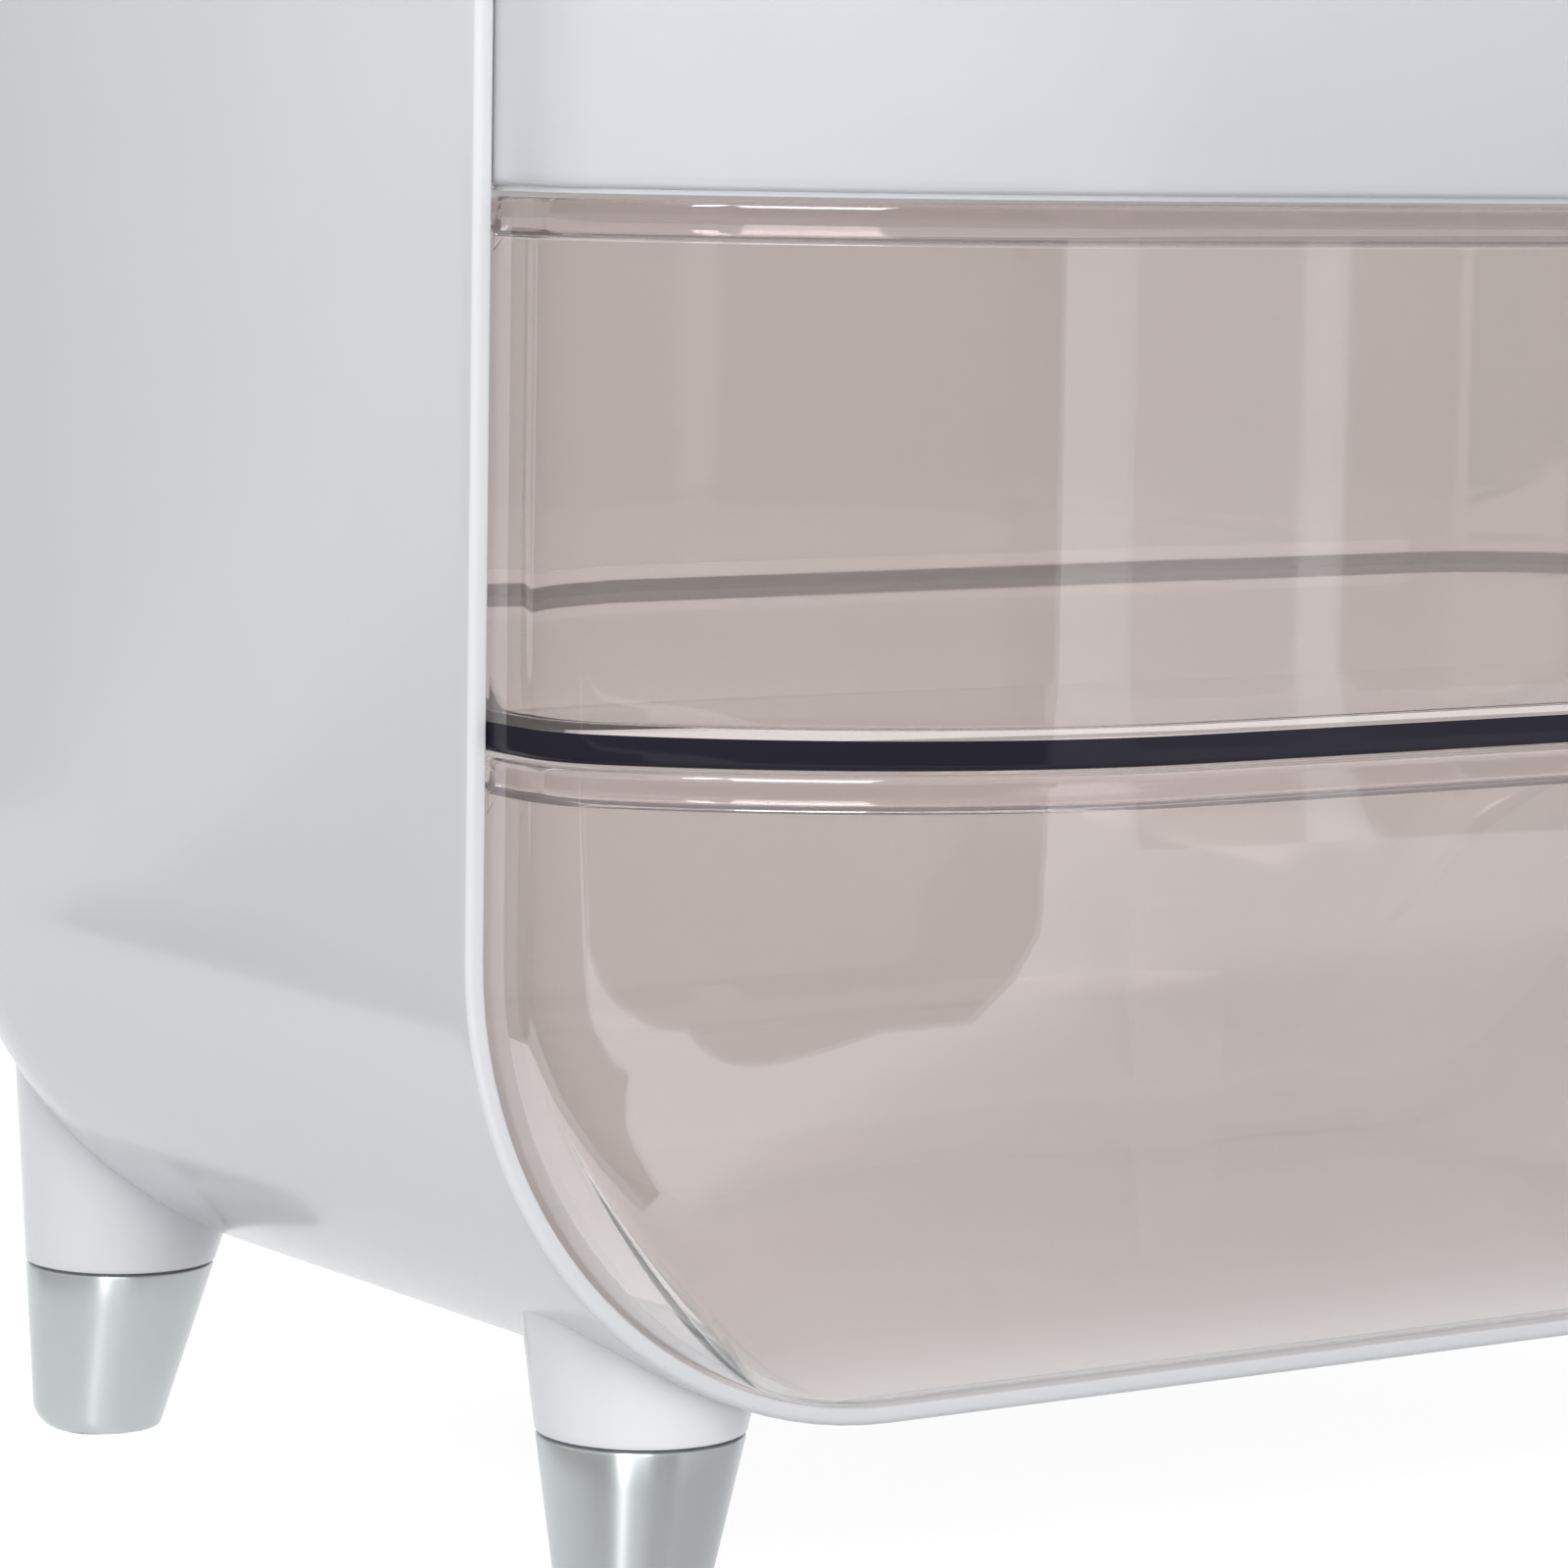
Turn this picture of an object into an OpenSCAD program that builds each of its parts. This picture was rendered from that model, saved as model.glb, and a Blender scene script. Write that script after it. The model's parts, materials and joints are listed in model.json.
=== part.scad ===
// Makeup organizer: a rounded glossy shell on four splayed legs, with a white top
// drawer and two smoky clear drawers whose fronts bulge forward.
// Millimetres, +Z up, the front faces -Y. The origin is under the middle, on the ground.

/* [Shell] */
// Clear width of the front opening
opening_w = 292; // [260:1:340]
// Clear height of the front opening
opening_h = 235; // [230:1:260]
// Depth from the rim to the outer back face
shell_d = 180; // [175:1:200]
// Wall thickness of the shell
shell_wall = 2.3; // [1.8:0.1:3]
// Radius of the four inside corners of the opening
corner_r = 60; // [56:1:64]
// Outer radius of the rounded rear edge
rear_r = 52; // [46:1:56]

/* [Drawer fronts] */
// How far the fronts bulge past the rim
bulge = 47.5; // [40:0.5:52]
// Straight part of the front's sides, ahead of the rim
side_step = 12.8; // [10:0.2:15]
// Width of the curved part at each end of a front
end_curve_w = 70; // [60:1:80]
// Rounding between a front's side and its curved end
cheek_r = 16; // [10:0.5:20]
// How far that rounding stands proud of the two faces it joins
cheek_over = 0.03; // [0.01:0.01:0.1]
// How far the fronts reach back into the shell
front_depth = 2; // [1.5:0.1:3]
// How much deeper the swept curve would run than the flat front it meets
belly_over = 0.2; // [0.1:0.05:0.4]
// Top of the bottom drawer's front, above the inside floor
bottom_front_h = 84; // [80:0.5:88]
// Height of the middle drawer's front
middle_front_h = 65.2; // [60:0.2:68]
// Gap between two fronts, one above the other
front_gap = 0.6; // [0.5:0.1:1]
// Height of the thick lip along the top of a front
lip_h = 4.2; // [3:0.1:5]
// Thickness of that lip
lip_t = 4.2; // [3.4:0.1:5]

/* [Trays] */
// Space behind the trays, to the shell's outer back face
rear_space = 30; // [28:1:40]
// Wall and floor thickness of the drawers
drawer_wall = 2.2; // [1.8:0.1:2.8]
// Rounding of the trays' rear edges
tray_rear_r = 30; // [26:1:34]
// Running clearance round a drawer
run_gap = 0.4; // [0.3:0.05:0.6]
// How much lower the tray walls are than the front's lip
tray_drop = 3.4; // [3:0.1:5]
// Height of the top drawer's tray
top_tray_h = 42; // [30:1:44]
// How much narrower that tray is on each side
top_tray_in = 3; // [2.8:0.1:4]
// Width of the flange round the rear of the top drawer's front
flange_w = 6; // [5.6:0.1:8]

/* [Shelves] */
// Height of a shelf's underside above the lower edge of the front over it
shelf_rise = 0.4; // [0.3:0.1:1]
// Distance of the shelves behind the fronts' rear edges
shelf_back = 1; // [0.5:0.1:2]
// Thickness of the two shelves
shelf_t = 1.6; // [1.2:0.1:2]
// Height of the ribs that carry a shelf
rib_h = 2; // [1.4:0.1:2.2]
// Width of those ribs
rib_w = 3; // [2:0.1:4]
// Thickness of the drawer stops at the rear
stop_t = 2; // [1.5:0.1:3]
// Height of the stops on the shelves
shelf_stop_h = 6; // [4:0.5:9]
// Width of the stops in the bottom of the shell
floor_stop_w = 16; // [10:1:24]
// Side play of a shelf in the shell
shelf_play = 0.1; // [0.05:0.05:0.3]

/* [Legs] */
// Clear height under the shell
leg_h = 26.2; // [22:0.2:32]
// Height of the joint between the leg and its plated tip
joint_h = 24.5; // [20:0.5:24.5]
// Radius of the leg at that joint
joint_r = 13.2; // [11:0.2:14]
// Half taper angle of the legs
taper = 10.35; // [8:0.05:11]
// Splay of the legs to the side
splay_side = 5.9; // [3:0.1:7]
// Splay of the legs to the front and rear
splay_fore = 4.6; // [3:0.1:6]
// Distance of the front legs from the inside face of the shell's side
leg_in_front = 34.7; // [30:0.1:38]
// Distance of the rear legs from the inside face of the shell's side
leg_in_rear = 30.2; // [28:0.1:38]
// Distance of the front legs from the rim
leg_front = 19; // [18:1:26]
// Distance of the rear legs from the shell's outer back face
leg_back = 29; // [28:1:40]
// Groove between the leg and its tip
joint_gap = 0.3; // [0.2:0.05:0.5]
// Radius of the pin that holds the tip
pin_r = 4.5; // [3.5:0.1:5]
// Length of that pin below the joint
pin_l = 12; // [8:1:15]
// Length of its root inside the leg
pin_root = 4; // [2:0.5:6]
// Clearance round the pin
pin_gap = 0.05; // [0.02:0.01:0.1]
// Rounding of the tip's lower edge
tip_edge_r = 3.5; // [2:0.1:4]
// Radius of the foot pad
pad_r = 5.2; // [4:0.1:5.6]
// Thickness of the foot pad
pad_t = 2; // [1.4:0.1:3]
// How far the pad stands proud of the tip
pad_proud = 0.8; // [0.5:0.1:1.2]

/* [Leg screws] */
// Radius of the countersunk head
head_r = 3; // [2.6:0.1:3.2]
// Height of the head
head_h = 1.5; // [1.2:0.1:1.7]
// Radius of the shank
shank_r = 1.5; // [1.2:0.05:1.6]
// How deep the head lies below the shell's inside face
head_sink = 0.3; // [0.1:0.1:0.5]
// Width of the driver's cross recess
recess_w = 0.8; // [0.5:0.1:1]
// Length of that recess
recess_l = 3.6; // [2.4:0.1:4]
// Depth of that recess
recess_d = 0.6; // [0.3:0.1:0.8]
// Length of the screw
screw_l = 10; // [8:0.5:10]
// Clearance round the screw
screw_gap = 0.05; // [0.02:0.01:0.1]

/* [Hidden] */
$fn = 96;

far = 400;                          // longer than any piece, for cuts
half_w = opening_w / 2;
outer_r = corner_r + shell_wall;
rim_y = (bulge - shell_d) / 2;      // the rim's plane, with the whole depth centred
floor_z = leg_h + shell_wall;       // the inside floor of the shell
rear_y = shell_d - rear_r;          // where the rear rounding starts, from the rim
tray_d = shell_d - rear_space;      // depth of the trays behind the rim
leg_rear = shell_d - leg_back;      // distance of the rear legs from the rim

// Levels above the inside floor
middle_z = bottom_front_h + front_gap;
middle_top = middle_z + middle_front_h;
top_z = middle_top + front_gap;
shelf_front = front_depth + shelf_back;     // where the shelves start, from the rim
shelf_rear = tray_d + run_gap + stop_t;
tray_bottom = shelf_rise + shelf_t + run_gap;   // tray underside above the front's edge
cut_end = front_depth + 1;          // hollows run past the front's rear edge

// The curved ends of the fronts, seen from above
end_rise = bulge - side_step;
end_r = (end_rise * end_rise + end_curve_w * end_curve_w) / (2 * end_rise);

// Colours
white = [0.90, 0.91, 0.93];
smoky = [0.72, 0.66, 0.65, 0.55];
plated = [0.72, 0.75, 0.76];
dark = [0.16, 0.16, 0.18];
steel = [0.62, 0.63, 0.65];

// ---- Placing ----

// From the rim's plane and the inside floor to the part's own origin
module in_shell() {
    translate([0, rim_y, floor_z]) children();
}

// Flat outline (X, Z) drawn out along Y
module along_y(y0, y1) {
    translate([0, y1, 0]) rotate([90, 0, 0]) linear_extrude(y1 - y0) children();
}

// Flat outline (Y, Z) drawn out along X
module along_x(x0, x1) {
    translate([x0, 0, 0]) rotate([90, 0, 90]) linear_extrude(x1 - x0) children();
}

// Flat outline (X, Y) drawn out along Z
module along_z(z0, z1) {
    translate([0, 0, z0]) linear_extrude(z1 - z0) children();
}

// Rectangle across from -w to w, with its rear corners rounded
module rear_rounded(w, depth, rear) {
    translate([-w, 0]) square([2 * w, depth - rear]);
    translate([-w + rear, 0]) square([2 * (w - rear), depth]);
    for (x = [-w + rear, w - rear]) translate([x, depth - rear]) circle(rear);
}

// ---- Scoop: a U-shaped channel, closed at the rear by a rounded end ----

// Outline across, open upward at the height top; r is the radius of the lower corners
module u_outline(w, low, top, r) {
    intersection() {
        translate([-w, low]) square([2 * w, top - low]);
        union() {
            for (x = [-w + r, w - r]) translate([x, low + r]) circle(r);
            translate([-w + r, low]) square([2 * (w - r), far]);
            translate([-w, low + r]) square([2 * w, far]);
        }
    }
}

// Section of the rounded end, from the corner's own axis outward
module end_section(depth, r, rear, wall) {
    translate([0, depth - wall]) square([r - rear, wall]);
    translate([r - rear, depth - rear]) intersection() {
        difference() {
            circle(rear);
            circle(rear - wall);
        }
        square(rear);
    }
}

module scoop(w, low, top, y0, depth, r, rear, wall) {
    cx = w - r;
    along_y(y0, depth - rear) difference() {
        u_outline(w, low, top, r);
        u_outline(w - wall, low + wall, top + 1, r - wall);
    }
    translate([-cx, 0, low + r]) rotate([0, 90, 0]) linear_extrude(2 * cx)
        end_section(depth, r, rear, wall);
    translate([-cx, depth - wall, low + r]) cube([2 * cx, wall, top - low - r]);
    for (side = [0, 1]) mirror([side, 0, 0]) translate([cx, 0, low + r]) {
        linear_extrude(top - low - r) end_section(depth, r, rear, wall);
        rotate([-90, 0, 0]) rotate_extrude(angle = 90) end_section(depth, r, rear, wall);
    }
}

// ---- Shell ----

// Lower half of the shell; the upper half is the same, turned over
module shell_half() {
    scoop(half_w + shell_wall, -shell_wall, opening_h / 2, 0, shell_d, outer_r, rear_r, shell_wall);
}

// Solid inside of one lower rear corner of the shell, out to its outer surface
module corner_block(side) {
    translate([side * (half_w - corner_r), 0, corner_r]) rotate([-90, 0, 0]) rotate_extrude() {
        square([outer_r, rear_y]);
        translate([0, rear_y]) intersection() {
            square(outer_r);
            union() {
                square([outer_r - rear_r, rear_r]);
                translate([outer_r - rear_r, 0]) circle(rear_r);
            }
        }
    }
}

// Outline of the opening, drawn in by inset
module opening_outline(inset) {
    r = corner_r - inset;
    cx = half_w - corner_r;
    union() {
        for (x = [-cx, cx], z = [corner_r, opening_h - corner_r])
            translate([x, z]) circle(r);
        translate([-cx, inset]) square([2 * cx, opening_h - 2 * inset]);
        translate([-half_w + inset, corner_r])
            square([opening_w - 2 * inset, opening_h - 2 * corner_r]);
    }
}

module outer_shell() {
    color(white) in_shell() difference() {
        union() {
            shell_half();
            translate([0, 0, opening_h]) mirror([0, 0, 1]) shell_half();
            for (z = [middle_z, top_z]) shelf_ribs(z + shelf_rise);
            floor_stops();
        }
        for (side = [-1, 1], rear = [false, true]) at_leg_screw(side, rear) screw_hole();
    }
}

// Ribs along both sides, with their top at height z
module shelf_ribs(z) {
    root = shell_wall / 2;
    for (x = [-half_w - root, half_w - rib_w])
        translate([x, shelf_front, z - rib_h]) cube([rib_w + root, rear_y - shelf_front, rib_h]);
}

// Two blades in the rounded rear of the floor that stop the bottom drawer
module floor_stops() {
    y = tray_d + run_gap;
    bite = rear_r - 0.4 * shell_wall;
    behind = y + stop_t - rear_y;
    foot = rear_r - shell_wall - sqrt(bite * bite - behind * behind);
    for (x = [-half_w / 2, half_w / 2])
        translate([x - floor_stop_w / 2, y, foot])
            cube([floor_stop_w, stop_t, tray_rear_r + shelf_stop_h - foot]);
}

// ---- Shelves ----

module shelf(z) {
    color(white) in_shell() {
        along_z(z, z + shelf_t) shelf_outline();
        along_z(z, z + shelf_t + shelf_stop_h) intersection() {
            shelf_outline();
            translate([-half_w + tray_rear_r, tray_d + run_gap])
                square([opening_w - 2 * tray_rear_r, stop_t]);
        }
    }
}

module shelf_outline() {
    difference() {
        rear_rounded(half_w - shelf_play, shelf_rear, tray_rear_r);
        translate([-far, -1]) square([2 * far, shelf_front + 1]);
    }
}

module lower_shelf() {
    shelf(middle_z + shelf_rise);
}

module upper_shelf() {
    shelf(top_z + shelf_rise);
}

// ---- Drawers ----

// Rear edge of a front: the hollow, which is drawn in, runs a little further
function front_end(inset) = inset > 0 ? cut_end : front_depth;

// A front seen from above: flat middle, curved ends, short straight sides
module front_plan(inset) {
    w = half_w - run_gap;
    cx = w - end_curve_w;
    cy = end_r - bulge;
    r = end_r - inset;
    cheek = cheek_r - inset + cheek_over;
    cheek_dx = end_curve_w - cheek_r;
    cheek_dy = sqrt((end_r - cheek_r) * (end_r - cheek_r) - cheek_dx * cheek_dx);
    touch_x = cx + cheek_dx * r / (end_r - cheek_r);
    intersection() {
        translate([-w + inset, -bulge + inset]) square([2 * (w - inset), bulge + front_end(inset)]);
        union() {
            translate([-cx, -bulge + inset]) square([2 * cx, far]);
            translate([-w + inset, cy - cheek_dy]) square([2 * (w - inset), far]);
            for (side = [-1, 1]) {
                intersection() {
                    translate([side * cx, cy]) circle(r, $fn = 180);
                    translate([-touch_x, -bulge]) square([2 * touch_x, bulge + cy]);
                }
                translate([side * (w - cheek_r), cy - cheek_dy]) circle(cheek);
            }
        }
    }
}

// A front seen from the side, with its swept edge at Z = 0: it leaves the rim there
// and turns upright at the height reach
module front_belly(inset, reach) {
    crown = bulge + belly_over;
    r = (crown * crown + reach * reach) / (2 * crown);
    intersection() {
        translate([-bulge - 1, inset]) square([bulge + 1 + front_end(inset), far]);
        union() {
            translate([r - crown, reach]) circle(r - inset, $fn = 180);
            translate([-bulge - 1, reach]) square([far, far]);
            square([far, far]);
        }
    }
}

// Front of the bottom drawer: the shell's own corners across, swept under at the bottom
module bottom_front(inset, z1) {
    w = half_w - run_gap - inset;
    low = run_gap + inset;
    intersection() {
        along_z(0, z1) front_plan(inset);
        along_y(-bulge, front_end(inset)) u_outline(w, low, z1, corner_r - low);
        along_x(-far, far) translate([0, run_gap])
            front_belly(inset, bottom_front_h - lip_h - run_gap);
    }
}

module bottom_drawer() {
    lip_z = bottom_front_h - lip_h;
    color(smoky) in_shell() {
        difference() {
            bottom_front(0, bottom_front_h);
            bottom_front(drawer_wall, lip_z);
            along_z(lip_z - 1, bottom_front_h + 1) front_plan(lip_t);
        }
        scoop(half_w - run_gap, run_gap, bottom_front_h - tray_drop, front_depth, tray_d,
            corner_r - run_gap, tray_rear_r, drawer_wall);
    }
}

module middle_drawer() {
    tray_z = middle_z + tray_bottom;
    tray_top = middle_top - tray_drop;
    lip_z = middle_top - lip_h;
    floor_top = tray_z + drawer_wall;
    color(smoky) in_shell() difference() {
        union() {
            along_z(middle_z, middle_top) front_plan(0);
            box_tray(0, half_w - run_gap, tray_z, tray_top);
        }
        along_z(floor_top, lip_z) front_plan(drawer_wall);
        along_z(lip_z - 1, middle_top + 1) front_plan(lip_t);
        box_tray(drawer_wall, half_w - run_gap, floor_top, tray_top + 1);
    }
}

// Tray with upright walls, w from the middle to its side
module box_tray(inset, w, z0, z1) {
    along_z(z0, z1) rear_rounded(w - inset, tray_d - inset, tray_rear_r - inset);
}

// Front of the top drawer: the bottom drawer's form turned over
module top_front(inset, z0) {
    translate([0, 0, opening_h]) mirror([0, 0, 1]) bottom_front(inset, opening_h - z0);
}

// Its front is a hollow box with a flange round the rear, which carries a lower tray
module top_drawer() {
    top = opening_h - run_gap;
    tray_z = top_z + tray_bottom;
    tray_w = half_w - run_gap - top_tray_in;
    floor_top = tray_z + drawer_wall;
    color(white) in_shell() difference() {
        union() {
            top_front(0, top_z);
            box_tray(0, tray_w, tray_z, top_z + top_tray_h);
        }
        difference() {
            top_front(drawer_wall, floor_top);
            translate([-far, 0, 0]) cube(2 * far);
        }
        along_y(-1, cut_end) difference() {
            opening_outline(run_gap + flange_w);
            translate([-far, 0]) square([2 * far, floor_top]);
        }
        box_tray(drawer_wall, tray_w, floor_top, top + 1);
    }
}

// ---- Legs ----

// Radius of a leg at height h above the ground, along its own axis
function leg_radius(h) = joint_r + (h - joint_h) * tan(taper);

// Distance of a leg from the inside face of the shell's side
function leg_in(rear) = rear ? leg_in_rear : leg_in_front;

// To the middle of a foot: side is -1 for left, rear is true behind
module at_foot(side, rear) {
    fore = rear ? 1 : -1;
    x = half_w - leg_in(rear) + joint_h * tan(splay_side);
    y = rim_y + (rear ? leg_rear : leg_front) + fore * joint_h * tan(splay_fore);
    translate([side * x, y, 0]) children();
}

// The same, with +Z along the leg's leaning axis
module at_leg(side, rear) {
    fore = rear ? 1 : -1;
    at_foot(side, rear) rotate([fore * splay_fore, side * -splay_side, 0]) children();
}

// Full cone of a leg, from the ground up into the shell
module leg_cone() {
    low = leg_radius(0);
    cx = low + tip_edge_r * tan(taper) - tip_edge_r / cos(taper);
    top = floor_z + corner_r / 2;
    rotate_extrude() union() {
        polygon([[0, 0], [cx, 0], [cx, tip_edge_r],
            [cx + tip_edge_r * cos(taper), tip_edge_r - tip_edge_r * sin(taper)],
            [leg_radius(top), top], [0, top]]);
        translate([cx, tip_edge_r]) circle(tip_edge_r);
    }
}

// White leg: the upper part of the cone, cut to the shell, with the tip's pin
module leg(side, rear) {
    color(white) difference() {
        union() {
            difference() {
                at_leg(side, rear) leg_cone();
                translate([-far / 2, -far / 2, -1]) cube([far, far, joint_h + joint_gap + 1]);
                in_shell() corner_block(side);
            }
            at_leg(side, rear) translate([0, 0, joint_h - pin_l]) cylinder(pin_l + pin_root, r = pin_r);
        }
        in_shell() at_leg_screw(side, rear) screw_hole();
    }
}

// Plated tip: the lower part of the cone, bored for the pin
module tip(side, rear) {
    color(plated) difference() {
        intersection() {
            at_leg(side, rear) leg_cone();
            translate([-far / 2, -far / 2, pad_proud]) cube([far, far, joint_h - pad_proud]);
        }
        at_leg(side, rear) translate([0, 0, joint_h - pin_l - pin_gap])
            cylinder(2 * pin_l, r = pin_r + pin_gap);
        at_foot(side, rear) cylinder(pad_t, r = pad_r);
    }
}

module pad(side, rear) {
    color(dark) at_foot(side, rear) cylinder(pad_t, r = pad_r);
}

// ---- Leg screws ----

// To the inside face of the shell over a leg, with -Z along the wall's own normal
module at_leg_screw(side, rear) {
    tube = rear_r - shell_wall;
    y = rear ? leg_rear : leg_front;
    lean = rear ? asin((leg_rear - rear_y) / rear_r) : 0;
    reach = rear ? corner_r - tube + tube * cos(lean) : corner_r;
    around = asin((corner_r - leg_in(rear)) / (reach + shell_wall));
    translate([side * (half_w - corner_r), rear ? rear_y : y, corner_r])
        rotate([0, side * -around, 0])
            translate([0, rear ? tube * sin(lean) : 0, -reach])
                rotate([lean, 0, 0]) children();
}

module screw_hole() {
    translate([0, 0, -head_h]) cylinder(2 * head_h, r = head_r + screw_gap);
    translate([0, 0, -screw_l - head_sink]) cylinder(screw_l, r = shank_r + screw_gap);
}

module leg_screw(side, rear) {
    color(steel) in_shell() at_leg_screw(side, rear) difference() {
        union() {
            translate([0, 0, -head_h]) cylinder(head_h - head_sink, r = head_r);
            translate([0, 0, -screw_l]) cylinder(screw_l - head_h, r = shank_r);
        }
        for (turn = [0, 90]) rotate(turn)
            translate([-recess_l / 2, -recess_w / 2, -head_sink - recess_d])
                cube([recess_l, recess_w, head_h]);
    }
}

outer_shell();
lower_shelf();
upper_shelf();
bottom_drawer();
middle_drawer();
top_drawer();
leg(-1, false);  // leg_front_left
leg(1, false);  // leg_front_right
leg(-1, true);  // leg_rear_left
leg(1, true);  // leg_rear_right
tip(-1, false);  // tip_front_left
tip(1, false);  // tip_front_right
tip(-1, true);  // tip_rear_left
tip(1, true);  // tip_rear_right
pad(-1, false);  // pad_front_left
pad(1, false);  // pad_front_right
pad(-1, true);  // pad_rear_left
pad(1, true);  // pad_rear_right
leg_screw(-1, false);  // screw_front_left
leg_screw(1, false);  // screw_front_right
leg_screw(-1, true);  // screw_rear_left
leg_screw(1, true);  // screw_rear_right
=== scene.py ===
import json
import math

import bmesh
import bpy
from mathutils import Matrix, Vector

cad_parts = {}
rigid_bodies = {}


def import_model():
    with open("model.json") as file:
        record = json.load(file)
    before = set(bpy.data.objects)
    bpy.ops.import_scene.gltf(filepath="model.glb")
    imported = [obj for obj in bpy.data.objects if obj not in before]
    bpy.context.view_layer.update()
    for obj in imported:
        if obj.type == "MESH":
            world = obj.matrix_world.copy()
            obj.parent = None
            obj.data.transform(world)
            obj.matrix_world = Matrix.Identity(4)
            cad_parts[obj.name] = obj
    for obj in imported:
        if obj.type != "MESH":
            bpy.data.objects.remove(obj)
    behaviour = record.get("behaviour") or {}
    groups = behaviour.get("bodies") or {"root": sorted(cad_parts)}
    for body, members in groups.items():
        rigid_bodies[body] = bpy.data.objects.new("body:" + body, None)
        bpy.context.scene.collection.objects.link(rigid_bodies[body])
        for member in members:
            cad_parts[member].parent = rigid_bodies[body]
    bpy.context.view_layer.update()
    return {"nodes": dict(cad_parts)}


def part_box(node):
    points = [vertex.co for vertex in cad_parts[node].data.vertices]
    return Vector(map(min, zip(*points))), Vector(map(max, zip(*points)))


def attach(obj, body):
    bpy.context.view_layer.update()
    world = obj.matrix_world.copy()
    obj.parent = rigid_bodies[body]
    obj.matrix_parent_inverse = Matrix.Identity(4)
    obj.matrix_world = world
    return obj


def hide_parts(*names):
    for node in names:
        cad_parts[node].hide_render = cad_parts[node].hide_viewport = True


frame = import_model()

# Sizes in millimetres. X runs from the middle, Y from the rim's plane to the rear and
# Z from the inside floor of the shell.
MM = 0.001

# Shell, with the radius of its corners and of its rear edge
WALL = 2.3
SHELL_LO, SHELL_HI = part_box("outer_shell")
RIM_Y = SHELL_LO.y / MM
FLOOR_Z = SHELL_LO.z / MM + WALL
SHELL_W = (SHELL_HI.x - SHELL_LO.x) / MM / 2
SHELL_D = (SHELL_HI.y - SHELL_LO.y) / MM
OPEN_W = SHELL_W - WALL
OPEN_H = (SHELL_HI.z - SHELL_LO.z) / MM - 2 * WALL
CORNER = 60.0
REAR = 52.0
REAR_START = SHELL_D - REAR

# Drawer fronts. Widths are half widths, from the middle
GAP = 0.4
DRAWER_W = OPEN_W - GAP
U_RADIUS = CORNER - GAP
BULGE = 47.5
END_W = 70.0
SIDE_STEP = 12.8
CHEEK = 16.0
LOW_CHEEK = 5.0
FRONT_BACK = 2.0
FRONT_UNTIL = FRONT_BACK - 0.1
FRONT_GAP = 0.6
BOTTOM_H = 84.0
MIDDLE_H = 65.2
MIDDLE_LO = BOTTOM_H + FRONT_GAP
MIDDLE_HI = MIDDLE_LO + MIDDLE_H
TOP_LO = MIDDLE_HI + FRONT_GAP
LIP = 4.2
THIN = 2.2

# The circle of a front's curved ends, seen from above
END_RISE = BULGE - SIDE_STEP
END_R = (END_RISE**2 + END_W**2) / (2 * END_RISE)
END_X = DRAWER_W - END_W
END_Y = END_R - BULGE

# Shelves and trays
SHELF_RISE = 0.4
SHELF_T = 1.6
SHELF_STOP_H = 6
RIB_W = 3
RIB_H = 2
RIB_ROOT = 1
RIB_FRONT = 3
STOP_W = 16
STOP_T = 2
STOP_FOOT = 4.8
TRAY_D = SHELL_D - 30.0
TRAY_REAR = 30.0
TRAY_DROP = 3.4
TRAY_RISE = SHELF_RISE + SHELF_T + GAP
TOP_TRAY_H = 42
TOP_TRAY_IN = 3
FLANGE_W = 6.0


# ---- Small helpers ----


def spread(a, b, n):
    """n steps from a to b."""
    return [a + (b - a) * i / n for i in range(n + 1)]


def rounding(r, a, b, n):
    """(in, down) from the corner of an edge rounded by r, between the angles a and b."""
    turns = [math.radians(t) for t in spread(a, b, n)]
    return [(r * (1 - math.cos(t)), r * (1 - math.sin(t))) for t in turns]


def rear_turn(r, start, inset, a, b, n):
    """(inset, y) round a rear edge of radius r that begins at y = start."""
    return [(inset + d, start + r - short) for d, short in rounding(r, a, b, n)]


def arc(cx, cy, r, a, b, n):
    """Points with their normals, (x, y, nx, ny), round a centre."""
    turns = [(math.cos(t), math.sin(t)) for t in spread(a, b, n)]
    return [(cx + r * c, cy + r * s, c, s) for c, s in turns]


def new_object(name, data):
    obj = bpy.data.objects.new(name, data)
    bpy.context.scene.collection.objects.link(obj)
    return obj


def smooth(obj, angle=35):
    for p in obj.data.polygons:
        p.use_smooth = True
    obj.data.set_sharp_from_angle(angle=math.radians(angle))


MERGE = 0.002
SLIVER = 0.001


def finish_mesh(name, bm, body, materials, local=True, angle=35, place=None):
    """Makes a piece that rides on a body from a mesh in millimetres. A local mesh is measured from
    the rim's plane and the inside floor. place is the piece's own origin."""
    bmesh.ops.remove_doubles(bm, verts=bm.verts, dist=MERGE)
    bmesh.ops.dissolve_degenerate(bm, edges=bm.edges, dist=SLIVER)
    bmesh.ops.recalc_face_normals(bm, faces=bm.faces)
    for v in bm.verts:
        x, y, z = v.co
        if local:
            y, z = y + RIM_Y, z + FLOOR_Z
        v.co = (x * MM, y * MM, z * MM)
    mesh = bpy.data.meshes.new(name)
    bm.to_mesh(mesh)
    bm.free()
    obj = new_object(name, mesh)
    if place is not None:
        mesh.transform(place.inverted())
        obj.matrix_world = place
    for m in materials:
        mesh.materials.append(m)
    smooth(obj, angle)
    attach(obj, body)
    return obj


def bevel(obj, width, segments, angle=40):
    """Eases the edges of an object that are sharper than the angle."""
    m = obj.modifiers.new("edges", "BEVEL")
    m.width = width * MM
    m.segments = segments
    m.limit_method = "ANGLE"
    m.angle_limit = math.radians(angle)
    m.harden_normals = False


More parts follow.
